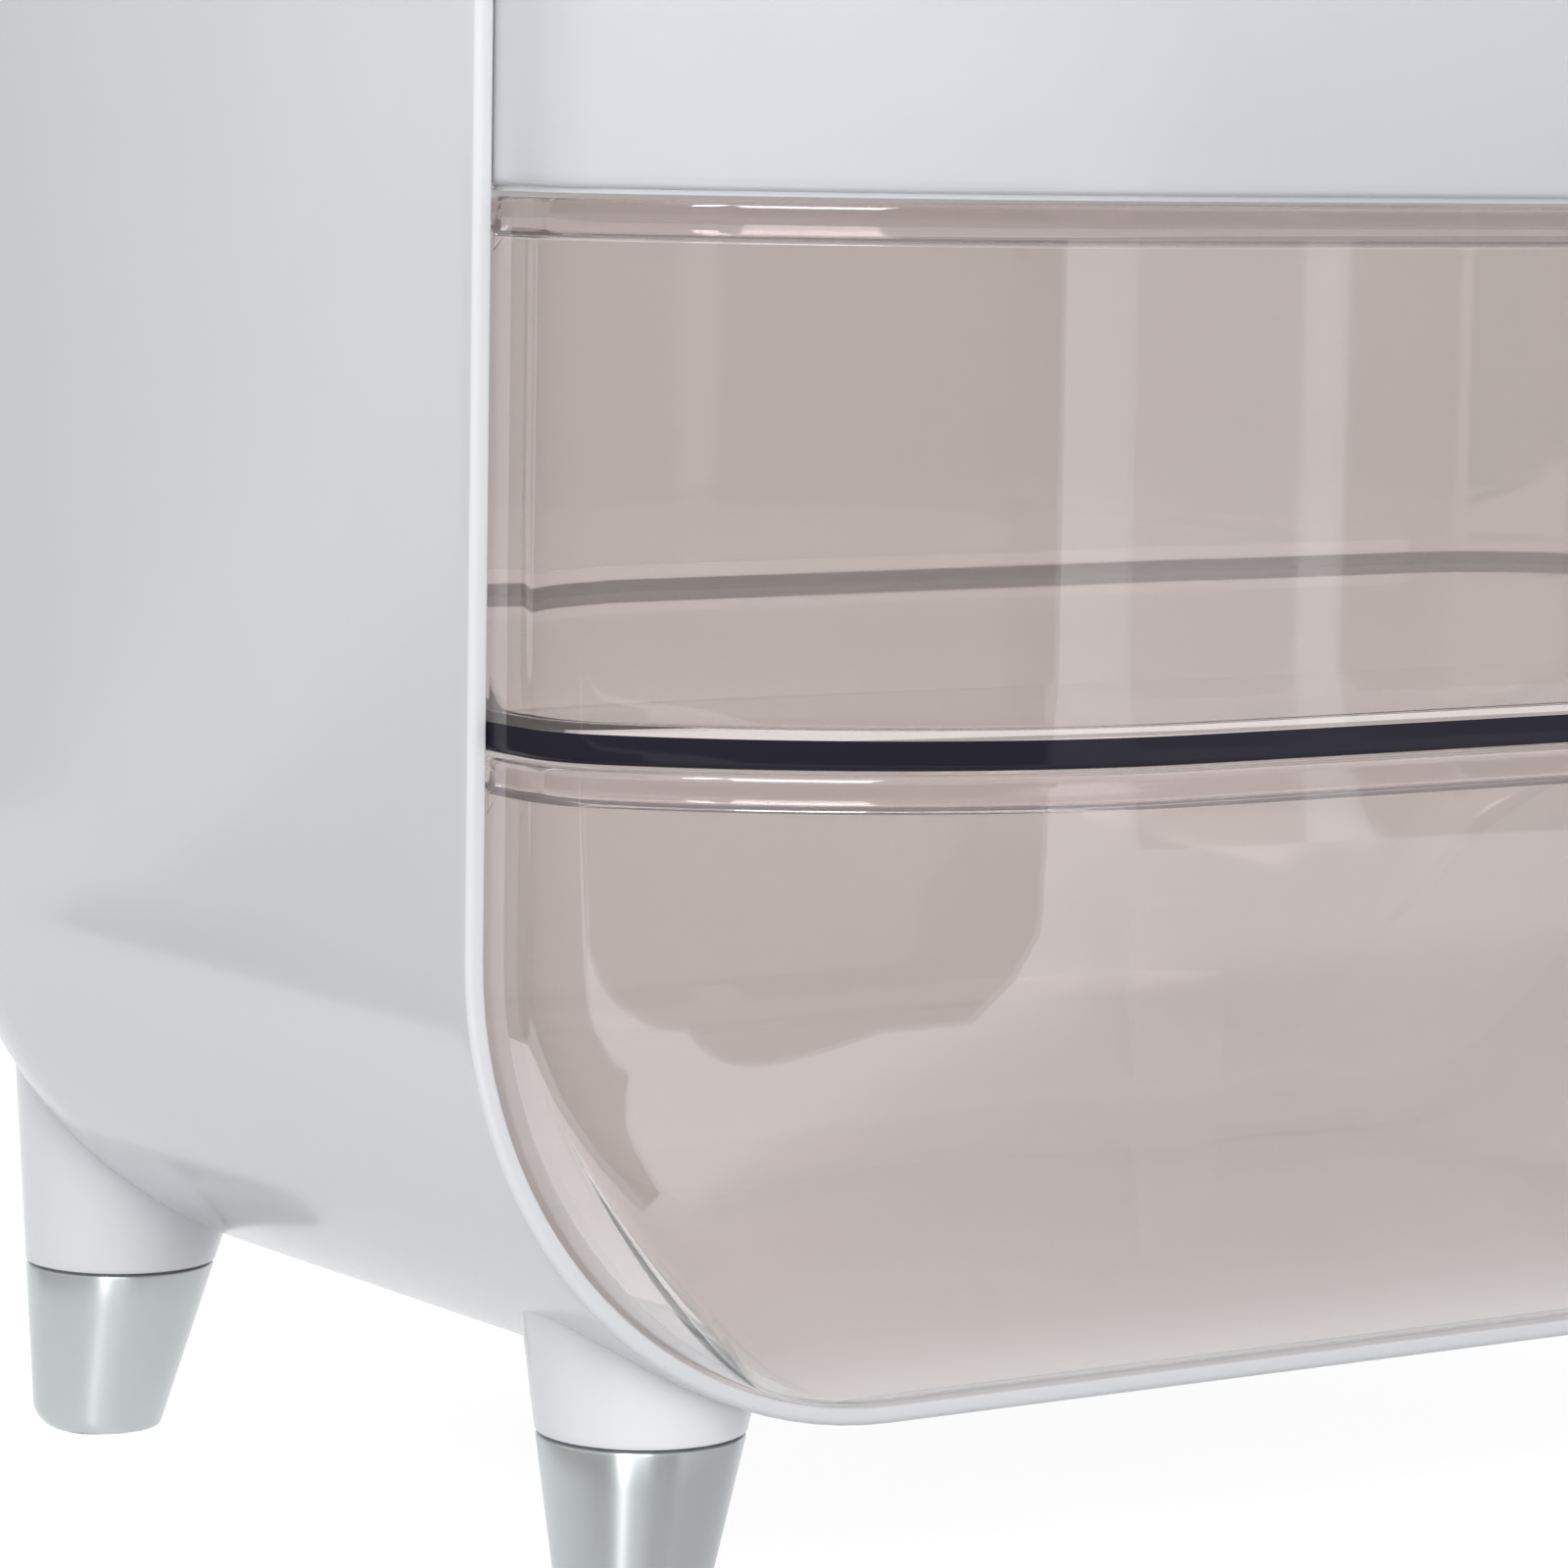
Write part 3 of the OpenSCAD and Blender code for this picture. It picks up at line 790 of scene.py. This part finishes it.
def middle_rows(bm, loop):
    """Rows of vertices from the foot of the middle drawer up its outside, over the rim and down to
    its floor, and the material that starts at each row."""
    tray_lo = MIDDLE_LO + TRAY_RISE
    tray_hi = MIDDLE_HI - TRAY_DROP
    floor = tray_lo + THIN
    lip_lo = MIDDLE_HI - LIP
    rows, tags = [], []

    def row(front_z, tray_z, front_in, tray_in=None, tag=PLAIN):
        """A row of points: height and inset on the front, and on the tray."""
        vs = []
        for p in loop:
            x, y, nx, ny = p
            d, z = front_in, front_z
            if not is_front(p):
                d, z = front_in if tray_in is None else tray_in, tray_z
            vs.append(bm.verts.new((x - nx * d, y - ny * d, z)))
        rows.append(vs)
        tags.append(tag)

    def wall(parts, inset):
        for f in parts:
            row(floor + (lip_lo - floor) * f, floor + (tray_hi - 4 - floor) * f, inset)

    # outside, with a band along the front's foot painted nearly black as shade
    foot, band = 0.9, 3.6
    row(MIDDLE_LO, tray_lo, foot + 1, tag=SHADED_BAND)
    for d, up in rounding(foot, 90, 0, 4):
        row(MIDDLE_LO + up, tray_lo + up, d, tag=SHADED_BAND)
    row(MIDDLE_LO + band - 0.25, tray_lo + 1.6, 0, tag=SHADED_BAND)
    row(MIDDLE_LO + band, tray_lo + 1.8, 0)
    parts = (0.1, 0.35, 0.65, 0.9)
    wall(parts, 0)
    row(lip_lo, tray_hi - 3, 0)

    # rim
    rim = 0.8
    for d, down in rounding(rim, 0, 90, 5):
        row(MIDDLE_HI - down, tray_hi - down, d)
    for d, down in rounding(rim, 90, 0, 5):
        row(MIDDLE_HI - down, tray_hi - down, LIP - d, THIN - d)

    # the lip's step, with a row close below it so that its shading doesn't run down the wall
    row(lip_lo + 0.5, tray_hi - 2.5, LIP, THIN)
    row(lip_lo + 0.15, tray_hi - 2.8, LIP - 0.15, THIN)
    row(lip_lo - 0.15, tray_hi - 3.2, THIN + 0.4, THIN)
    row(lip_lo - 0.5, tray_hi - 3.6, THIN, THIN)
    row(lip_lo - 0.7, tray_hi - 3.8, THIN, THIN)

    # inside, with a fillet and a flat ring at the floor
    wall(reversed(parts), THIN)
    front_r, tray_r = 0.7, 1.7
    # the floor fillet; its rear part takes painted shade, a dark line in the crease
    for d, up in rounding(1, 0, 90, 5):
        row(floor + front_r * up, floor + tray_r * up, THIN + front_r * d, THIN + tray_r * d, SHADED_FILLET)
    tags[-1] = PLAIN
    row(floor, floor, THIN + front_r + 1, THIN + tray_r + 1)
    return rows, tags


def close_foot(bm, row, loop):
    """Closes the underside of the middle drawer: its front, its tray and the step between them."""
    half = len(loop) // 2
    # the loop starts at the front's middle, so the front wraps round the end of the list
    right = [v for v, p in zip(row[:half], loop[:half]) if is_front(p)]
    left = [v for v, p in zip(row[half:], loop[half:]) if is_front(p)]
    front = left + right
    tray = [v for v, p in zip(row, loop) if not is_front(p)]
    bm.faces.new(front)
    bm.faces.new(tray)
    bm.faces.new([front[-1], tray[0], tray[-1], front[0]])


def make_middle_drawer():
    loop = closed_loop(front_plan())
    bm = bmesh.new()
    rows, tags = middle_rows(bm, loop)
    n = len(loop)
    for tag, a, b in zip(tags, rows, rows[1:]):
        for i in range(n):
            j = (i + 1) % n
            f = bm.faces.new([a[i], a[j], b[j], b[i]])
            front = is_front(loop[i]) and is_front(loop[j])
            rear = loop[i][1] > TRAY_D - TRAY_REAR - 1
            # painted shade: the band on the front's foot and the fillet along the rear take the dark
            # materials
            if (tag == SHADED_BAND and front) or (tag == SHADED_FILLET and rear):
                f.material_index = tag
    bm.faces.new(rows[-1])
    close_foot(bm, rows[0], loop)
    materials = [SMOKY_MAT, SHADED_EDGE_MAT, SHADED_CORNER_MAT, SHADED_LIP_MAT]
    obj = finish_mesh("middle_tub", bm, "middle_drawer_body", materials, angle=50)
    mark_lip(obj, MIDDLE_HI - LIP, TOP_LIP)
    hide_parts("middle_drawer")


def make_top_front():
    """The white front, a hollow shell with a plate along its foot."""
    bm = bmesh.new()
    info = u_sheet(bm, True, None)
    thicken(bm, info, False, True, edge=1.0)
    half = [p for p in front_plan() if is_front(p)] + [(DRAWER_W, FRONT_BACK, 1, 0)]
    outline = mirrored(half[1:]) + half
    skin, plate_t = 0.9, 4.6
    lo, hi = [
        [bm.verts.new((x - nx * skin, y - ny * skin, z)) for x, y, nx, ny in outline]
        for z in (TOP_LO, TOP_LO + plate_t)
    ]
    grid_faces(bm, [lo, hi], close=True)
    bm.faces.new(lo)
    bm.faces.new(list(reversed(hi)))
    front = finish_mesh("top_front", bm, "top_drawer_body", [SHADED_PANEL_MAT], angle=50)
    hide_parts("top_drawer")


def make_top_flange():
    """The flange round the rear of the white front."""
    outer, inner = (1.2, 0.8), (FLANGE_W, 4.2)
    bm = bmesh.new()
    rows = []
    for (d, rise), y in ((outer, 0.0), (outer, FRONT_BACK), (inner, FRONT_BACK), (inner, 0.0)):
        places = [c.at(d, OPEN_H - (TOP_LO + rise)) for c in u_columns()[0]]
        rows.append([bm.verts.new((x, y, OPEN_H - z)) for x, z in places])
    grid_faces(bm, rows + [rows[0]])
    for k in (0, -1):
        bm.faces.new([r[k] for r in rows])
    finish_mesh("top_flange", bm, "top_drawer_body", [LIT_INSIDE_MAT], angle=40)


def make_top_tray():
    lo, hi = TOP_LO + TRAY_RISE, TOP_LO + TOP_TRAY_H
    floor = lo + THIN
    foot, rim, fillet = 0.9, 0.8, 1.6
    heights = [lo + (hi - lo) * f for f in (0.2, 0.5, 0.8)]
    profile = [(foot + 1, lo)]
    profile += [(d, lo + up) for d, up in rounding(foot, 90, 0, 4)]
    profile += [(0, z) for z in heights]
    profile += [(d, hi - down) for d, down in rounding(rim, 0, 90, 4)]
    profile += [(THIN - d, hi - down) for d, down in rounding(rim, 90, 0, 4)]
    profile += [(THIN, z) for z in reversed(heights)]
    profile += [(THIN + d, floor + up) for d, up in rounding(fillet, 0, 90, 5)]
    profile += [(THIN + fillet + 1, floor)]
    loop = closed_loop(box_plan(DRAWER_W - TOP_TRAY_IN))
    bm = bmesh.new()
    rows = [[bm.verts.new((x - nx * d, y - ny * d, z)) for x, y, nx, ny in loop] for d, z in profile]
    grid_faces(bm, rows, close=True)
    bm.faces.new(rows[0])
    bm.faces.new(rows[-1])
    finish_mesh("top_tray", bm, "top_drawer_body", [LIT_INSIDE_MAT], angle=50)


# ---- Legs ----

# The leg_in distances run from the opening's side and the others from the rim. A leg is measured
# along its own axis from the ground
LEG_IN_FRONT = 34.7
LEG_IN_REAR = 30.2
LEG_FRONT = 19.0
LEG_REAR = SHELL_D - 29.0
LEG_BED = 1.2
JOINT_H = 24.5
JOINT_R = 13.2
GROOVE = 0.3
TAPER = math.radians(10.35)
SPLAY_SIDE = math.radians(5.9)
SPLAY_FORE = math.radians(4.6)
TIP_EDGE = 3.5
TIP_FOOT = 0.8
RECESS_R = 5.3
RECESS_TOP = 1.9
TURNS = [2 * math.pi * i / 96 for i in range(96)]


def leg_frame(side, rear):
    """Foot centre and axes of a leg, in the part's own frame."""
    fore = 1 if rear else -1
    leg_in = LEG_IN_REAR if rear else LEG_IN_FRONT
    x = side * (OPEN_W - leg_in + JOINT_H * math.tan(SPLAY_SIDE))
    y = RIM_Y + (LEG_REAR if rear else LEG_FRONT) + fore * JOINT_H * math.tan(SPLAY_FORE)
    turn = Matrix.Rotation(side * -SPLAY_SIDE, 3, "Y") @ Matrix.Rotation(fore * SPLAY_FORE, 3, "X")
    return Vector((x, y, 0)), turn


def leg_radius(h):
    return JOINT_R + (h - JOINT_H) * math.tan(TAPER)


def on_cone(foot, turn, phi, h, shrink=0.0, part=1.0):
    r = (leg_radius(h) - shrink) * part
    return foot + turn @ Vector((r * math.cos(phi), r * math.sin(phi), h))


def at_height(foot, turn, phi, z, shrink=0.0, part=1.0):
    """Point of the cone's line phi at height z above the ground."""
    a = on_cone(foot, turn, phi, 0, shrink, part)
    b = on_cone(foot, turn, phi, 100, shrink, part)
    f = (z - a.z) / (b.z - a.z)
    return a + (b - a) * f


def shell_depth(p):
    """How far a point near a lower corner lies inside the shell's outer surface."""
    y, z = p.y - RIM_Y, p.z - FLOOR_Z
    rho = math.hypot(max(abs(p.x) - (OPEN_W - CORNER), 0), z - CORNER)
    if y <= REAR_START:
        return CORNER + WALL - rho
    core = CORNER + WALL - REAR
    if rho < core:
        return SHELL_D - y
    return REAR - math.hypot(rho - core, y - REAR_START)


def at_shell(foot, turn, phi, part=1.0):
    """Where the cone's line phi, at a part of its radius, ends in the shell's wall."""
    lo, hi = 20.0, 90.0
    for _ in range(40):
        mid = (lo + hi) / 2
        if shell_depth(at_height(foot, turn, phi, mid, part=part)) > LEG_BED:
            hi = mid
        else:
            lo = mid
    return at_height(foot, turn, phi, lo, part=part)


def circle(foot, r, z):
    return [foot + Vector((r * math.cos(p), r * math.sin(p), z)) for p in TURNS]


def turned_piece(name, mat, rings, place=None):
    """A closed piece of the cabinet from rings of points in the part's own frame."""
    bm = bmesh.new()
    rows = [[bm.verts.new(p) for p in ring] for ring in rings]
    grid_faces(bm, rows, close=True)
    bm.faces.new(rows[0])
    bm.faces.new(rows[-1])
    return finish_mesh(name, bm, "cabinet", [mat], local=False, angle=50, place=place)


def make_leg(side, rear, name):
    foot, turn = leg_frame(side, rear)
    bottom = JOINT_H + GROOVE
    rings = [
        [at_height(foot, turn, p, bottom + rise, shrink) for p in TURNS]
        for rise, shrink in ((0, 5.0), (0, 0.35), (0.1, 0.1))
    ]
    low = [at_height(foot, turn, p, bottom + 0.35) for p in TURNS]
    high = [at_shell(foot, turn, p) for p in TURNS]
    for f in (0, 0.05, 0.3, 0.6, 0.9, 1.0):
        rings.append([a.lerp(b, f) for a, b in zip(low, high)])
    for part in (0.8, 0.6, 0.4, 0.2):
        rings.append([at_shell(foot, turn, p, part) for p in TURNS])
    obj = turned_piece(f"leg_{name}_white", LIT_LEG_MAT, rings)
    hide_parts(f"leg_{name}")


def make_tip(side, rear, name):
    foot, turn = leg_frame(side, rear)
    rings = [
        [at_height(foot, turn, p, JOINT_H - drop, shrink) for p in TURNS]
        for drop, shrink in ((0, 6.0), (0, 0.5), (0.12, 0.15), (0.5, 0))
    ]
    for z in (20, 15, 10, 7):
        rings.append([at_height(foot, turn, p, z) for p in TURNS])
    edge_r = leg_radius(0) + TIP_EDGE * math.tan(TAPER) - TIP_EDGE / math.cos(TAPER)
    for a in spread(-TAPER, -math.pi / 2, 12):
        r, h = edge_r + TIP_EDGE * math.cos(a), TIP_EDGE + TIP_EDGE * math.sin(a)
        ring = [foot + turn @ Vector((r * math.cos(p), r * math.sin(p), h)) for p in TURNS]
        rings.append([Vector((q.x, q.y, max(q.z, TIP_FOOT))) for q in ring])
    rings.append(circle(foot, RECESS_R, TIP_FOOT))
    rings.append(circle(foot, RECESS_R, RECESS_TOP))
    place = Matrix.Translation(foot * MM)
    obj = turned_piece(f"tip_{name}_plated", TIP_MAT, rings, place)
    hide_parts(f"tip_{name}")


def make_pad(side, rear, name):
    foot, _ = leg_frame(side, rear)
    profile = [(2.0, 0.25), (2.6, 0.0), (4.7, 0.0), (5.05, 0.12), (5.2, 0.45), (5.2, 1.7), (4.9, 1.95)]
    rings = [circle(foot, r, z) for r, z in profile]
    obj = turned_piece(f"pad_{name}_rubber", PAD_MAT, rings)
    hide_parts(f"pad_{name}")


# ---- Build ----


def dress_cad():
    """Shelves and screws stay the CAD's own solids, with their materials and eased shelves."""
    for n in ("lower_shelf", "upper_shelf"):
        o = frame["nodes"][n]
        o.data.materials.clear()
        o.data.materials.append(LIT_SHELF_MAT)
        bevel(o, 0.35, 2, 50)
    for n in [k for k in frame["nodes"] if k.startswith("screw_")]:
        o = frame["nodes"][n]
        o.data.materials.clear()
        o.data.materials.append(SCREW_MAT)


def build():
    shell = make_shell()
    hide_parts("outer_shell")
    make_ribs()
    make_floor_stops()
    make_bottom_drawer()
    make_middle_drawer()
    make_top_front()
    make_top_flange()
    make_top_tray()
    for side, s in (("left", -1), ("right", 1)):
        for end, rear in (("front", False), ("rear", True)):
            name = f"{end}_{side}"
            make_leg(s, rear, name)
            make_tip(s, rear, name)
            make_pad(s, rear, name)
    dress_cad()


# ---- Stage, in metres ----

CARD_TOP = 0.165
CARD_LIFT = 0.002
WORLD_LEVEL = 0.54
FLOOR_LEVEL = 0.93
FLOOR_HALF = 6.0


def emission(name, colour, strength):
    m = bpy.data.materials.new(name)
    nt = bare_nodes(m)
    out = nt.nodes.new("ShaderNodeOutputMaterial")
    e = nt.nodes.new("ShaderNodeEmission")
    e.inputs["Color"].default_value = (*colour, 1)
    e.inputs["Strength"].default_value = strength
    nt.links.new(e.outputs[0], out.inputs["Surface"])
    return m


def card(name, faces, strength, colour=(1, 1, 1)):
    """A studio card that only gloss and clear plastic see: faces are lists of points."""
    mesh = bpy.data.meshes.new(name)
    pts = [p for f in faces for p in f]
    ids, k = [], 0
    for f in faces:
        ids.append(tuple(range(k, k + len(f))))
        k += len(f)
    mesh.from_pydata(pts, [], ids)
    obj = new_object(name, mesh)
    mesh.materials.append(emission(name, colour, strength))
    obj.visible_camera = False
    obj.visible_diffuse = False
    obj.visible_shadow = False
    obj.visible_volume_scatter = False


def on_floor(pts):
    return [(x, y, CARD_LIFT) for x, y in pts]


def upright(a, b, low=0, high=CARD_TOP):
    return [(*a, low), (*b, low), (*b, high), (*a, high)]


def area(name, location, target, size, power, size_y=None):
    light = bpy.data.lights.new(name, "AREA")
    light.energy = power
    light.size = size
    if size_y:
        light.shape = "RECTANGLE"
        light.size_y = size_y
    obj = new_object(name, light)
    obj.location = location
    obj.rotation_mode = "QUATERNION"
    obj.rotation_quaternion = (Vector(target) - Vector(location)).to_track_quat("-Z", "Y")
    return obj


def link(lamp, name, *words):
    """Limits a lamp to the objects whose names start with these words."""
    lit = bpy.data.collections.new(name)
    for o in bpy.data.objects:
        if o.name.startswith(words):
            lit.objects.link(o)
    lamp.light_linking.receiver_collection = lit


def make_world():
    """White where it is seen, mirrored or seen through, and a softer light for everything else."""
    world = bpy.data.worlds.new("studio")
    bpy.context.scene.world = world
    nt = bare_nodes(world)
    out = nt.nodes.new("ShaderNodeOutputWorld")
    path = nt.nodes.new("ShaderNodeLightPath")
    white = nt.nodes.new("ShaderNodeBackground")
    white.inputs["Color"].default_value = (1, 1, 1, 1)
    white.inputs["Strength"].default_value = 1.0
    soft = nt.nodes.new("ShaderNodeBackground")
    soft.inputs["Color"].default_value = (0.97, 0.985, 1.0, 1)
    soft.inputs["Strength"].default_value = WORLD_LEVEL
    seen = any_ray(nt, path, "Is Camera Ray", "Is Glossy Ray", "Is Transmission Ray")
    mix_into(nt, out, seen, soft, white)


def dim_near_object(nt, path, glow):
    """Gloss sees the floor darker close before the object, where the object keeps light off it."""
    middle, half, fade = (0.065, -0.14, 0), (0.235, 0.05, 0), 0.09
    coord = nt.nodes.new("ShaderNodeTexCoord")
    last = coord.outputs["Object"]
    steps = [("SUBTRACT", middle), ("ABSOLUTE", None), ("SUBTRACT", half), ("MAXIMUM", (0, 0, 0))]
    for operation, value in steps:
        v = nt.nodes.new("ShaderNodeVectorMath")
        v.operation = operation
        nt.links.new(last, v.inputs[0])
        if value is not None:
            v.inputs[1].default_value = value
        last = v.outputs[0]
    away = nt.nodes.new("ShaderNodeVectorMath")
    away.operation = "LENGTH"
    nt.links.new(last, away.inputs[0])
    near = nt.nodes.new("ShaderNodeMapRange")
    near.interpolation_type = "SMOOTHSTEP"
    for name, value in (("From Min", 0.0), ("From Max", fade), ("To Min", 0.54), ("To Max", 0.9)):
        near.inputs[name].default_value = value
    nt.links.new(away.outputs["Value"], near.inputs["Value"])
    level = nt.nodes.new("ShaderNodeMix")
    level.inputs["A"].default_value = FLOOR_LEVEL
    nt.links.new(path.outputs["Is Glossy Ray"], level.inputs["Factor"])
    nt.links.new(near.outputs["Result"], level.inputs["B"])
    nt.links.new(level.outputs["Result"], glow.inputs["Strength"])


def make_floor():
    """A white floor that glows where it is seen, and is lit like any other where it isn't."""
    mesh = bpy.data.meshes.new("floor")
    corners = [(x * FLOOR_HALF, y * FLOOR_HALF, 0) for x, y in ((-1, -1), (1, -1), (1, 1), (-1, 1))]
    mesh.from_pydata(corners, [], [(0, 1, 2, 3)])
    floor = new_object("floor", mesh)
    m = bpy.data.materials.new("floor_white")
    nt = bare_nodes(m)
    out = nt.nodes.new("ShaderNodeOutputMaterial")
    path = nt.nodes.new("ShaderNodeLightPath")
    lit = nt.nodes.new("ShaderNodeBsdfDiffuse")
    lit.inputs["Color"].default_value = (0.76, 0.77, 0.78, 1)
    shade = nt.nodes.new("ShaderNodeBsdfDiffuse")
    shade.inputs["Color"].default_value = (0.2, 0.2, 0.2, 1)
    glow = nt.nodes.new("ShaderNodeEmission")
    dim_near_object(nt, path, glow)
    glowing = nt.nodes.new("ShaderNodeAddShader")
    nt.links.new(shade.outputs[0], glowing.inputs[0])
    nt.links.new(glow.outputs[0], glowing.inputs[1])
    seen = any_ray(nt, path, "Is Camera Ray", "Is Transmission Ray", "Is Glossy Ray")
    mix_into(nt, out, seen, lit, glowing)
    mesh.materials.append(m)


def make_cards():
    """What the drawers mirror: a dark side to the left, a bright slit and a dark side to the right."""
    edge = [
        (-1.6, -0.25),
        (-0.666, -0.333),
        (-0.459, -0.386),
        (-0.145, -0.303),
        (-0.083, -0.262),
        (-0.067, -0.291),
        (-0.049, -0.349),
        (-0.033, -0.534),
        (0.037, -1.062),
        (0.119, -1.399),
    ]
    far, side, rear = (-2.2, -1.4), (-2.2, 0.6), (-1.25, 1.75)
    near_left = [
        (-1.6, -0.25),
        far,
        side,
        rear,
        (-0.27, 0.32),
        (-0.26, 0.08),
        (-0.245, 0.03),
        (-0.235, -0.03),
        (-0.205, -0.085),
        (-0.25, -0.17),
        (-0.36, -0.22),
        (-0.50, -0.315),
        (-0.60, -0.29),
    ]
    walls = [upright((0.119, -1.4), far), upright(far, side), upright(side, rear)]
    card("dark_left", [on_floor(edge + [far]), on_floor(near_left), *walls], 0.1, (1.0, 0.9, 0.55))
    a, b = (-1.2, 1.92), (-0.5, 2.6)
    back = [upright(a, b, high=0.6), on_floor([a, b, (-0.2, 0.6), (-0.5, 0.75)])]
    card("grey_back", back, 0.45, (0.95, 0.98, 1.0))
    a, b = (0.7476, -1.1297), (0.7618, -1.1240)
    near_a, near_b = (0.30, -0.5575), (0.316, -0.552)
    card("slit", [upright(a, b), on_floor([a, near_a, near_b, b])], 1.25)
    c = (0.42, -1.36)
    front = [upright(c, a), on_floor([c, (0.17, -0.66), near_a, a])]
    card("grey_front", front, 0.7, (1.0, 0.97, 0.97))
    c = (1.096, -0.764)
    right = [upright(b, c), on_floor([b, near_b, (0.4, -0.45), c])]
    card("dark_right", right, 0.6, (1.0, 0.94, 0.86))


def make_lamps():
    """Lamps for everything, and others that light one group of pieces each."""
    area("key", (-0.72, -1.05, 0.72), (-0.1, -0.05, 0.1), 0.5, 5.2)
    area("strip", (-1.12, -0.9, 1.2), (-0.1, -0.05, 0.08), 0.12, 4.5, 0.7)
    area("top", (0.1, 0.2, 2.2), (0, 0, 0.2), 1.6, 6)
    tips = area("tip_strip", (-1.05, -0.85, 0.47), (-0.114, -0.05, 0.02), 0.05, 7.5, 0.22)
    link(tips, "tips", "tip_")
    legs = area("leg_fill", (-0.05, -1.5, 0.12), (-0.1, 0.05, 0.03), 0.6, 2.4, 0.15)
    link(legs, "legs", "leg_")
    for s in (-1, 1):
        under = area("under_fill", (s * 0.02, 0.08, 0.012), (s * 0.12, 0.13, 0.04), 0.05, 0.03)
        link(under, "legs_under", "leg_")
        under.visible_camera = under.visible_glossy = under.visible_transmission = False
    left = area("side_fill", (-0.6, -0.35, 0.34), (-0.15, -0.08, 0.13), 0.2, 0.32)
    link(left, "sides", "shell", "top_front")
    lips = area("lip_strip", (-0.56, -0.82, 0.88), (-0.1, -0.11, 0.17), 0.45, 5.0, 0.6)
    link(lips, "lips", "middle_tub", "bottom_tub")


def make_stage():
    make_floor()
    make_world()
    make_lamps()
    make_cards()


# The camera fitted to the photograph: its width and focal length in pixels, its place in metres
# and its angles in degrees
PHOTO_W = 1601.0
FOCAL = 6195.0
SENSOR = 36.0
EYE = (-0.511, -0.67525, 0.189)
YAW, PITCH, ROLL = 33.76, -6.36, 0.91


def make_camera():
    cam = bpy.data.cameras.new("camera")
    cam.lens = FOCAL * SENSOR / PHOTO_W
    cam.sensor_width = SENSOR
    cam.sensor_fit = "HORIZONTAL"
    cam.clip_start, cam.clip_end = 0.01, 50
    obj = new_object("camera", cam)
    yaw, pitch, roll = (math.radians(a) for a in (YAW, PITCH, ROLL))
    ahead = Vector((math.sin(yaw) * math.cos(pitch), math.cos(yaw) * math.cos(pitch), math.sin(pitch)))
    level = Vector((math.cos(yaw), -math.sin(yaw), 0))
    up = level.cross(ahead)
    x_axis = level * math.cos(roll) + up * math.sin(roll)
    y_axis = up * math.cos(roll) - level * math.sin(roll)
    turn = Matrix((x_axis, y_axis, -ahead)).transposed()
    obj.matrix_world = Matrix.Translation(EYE) @ turn.to_4x4()
    bpy.context.scene.camera = obj


make_camera()
build()
make_stage()
bpy.context.scene.view_settings.view_transform = "Standard"
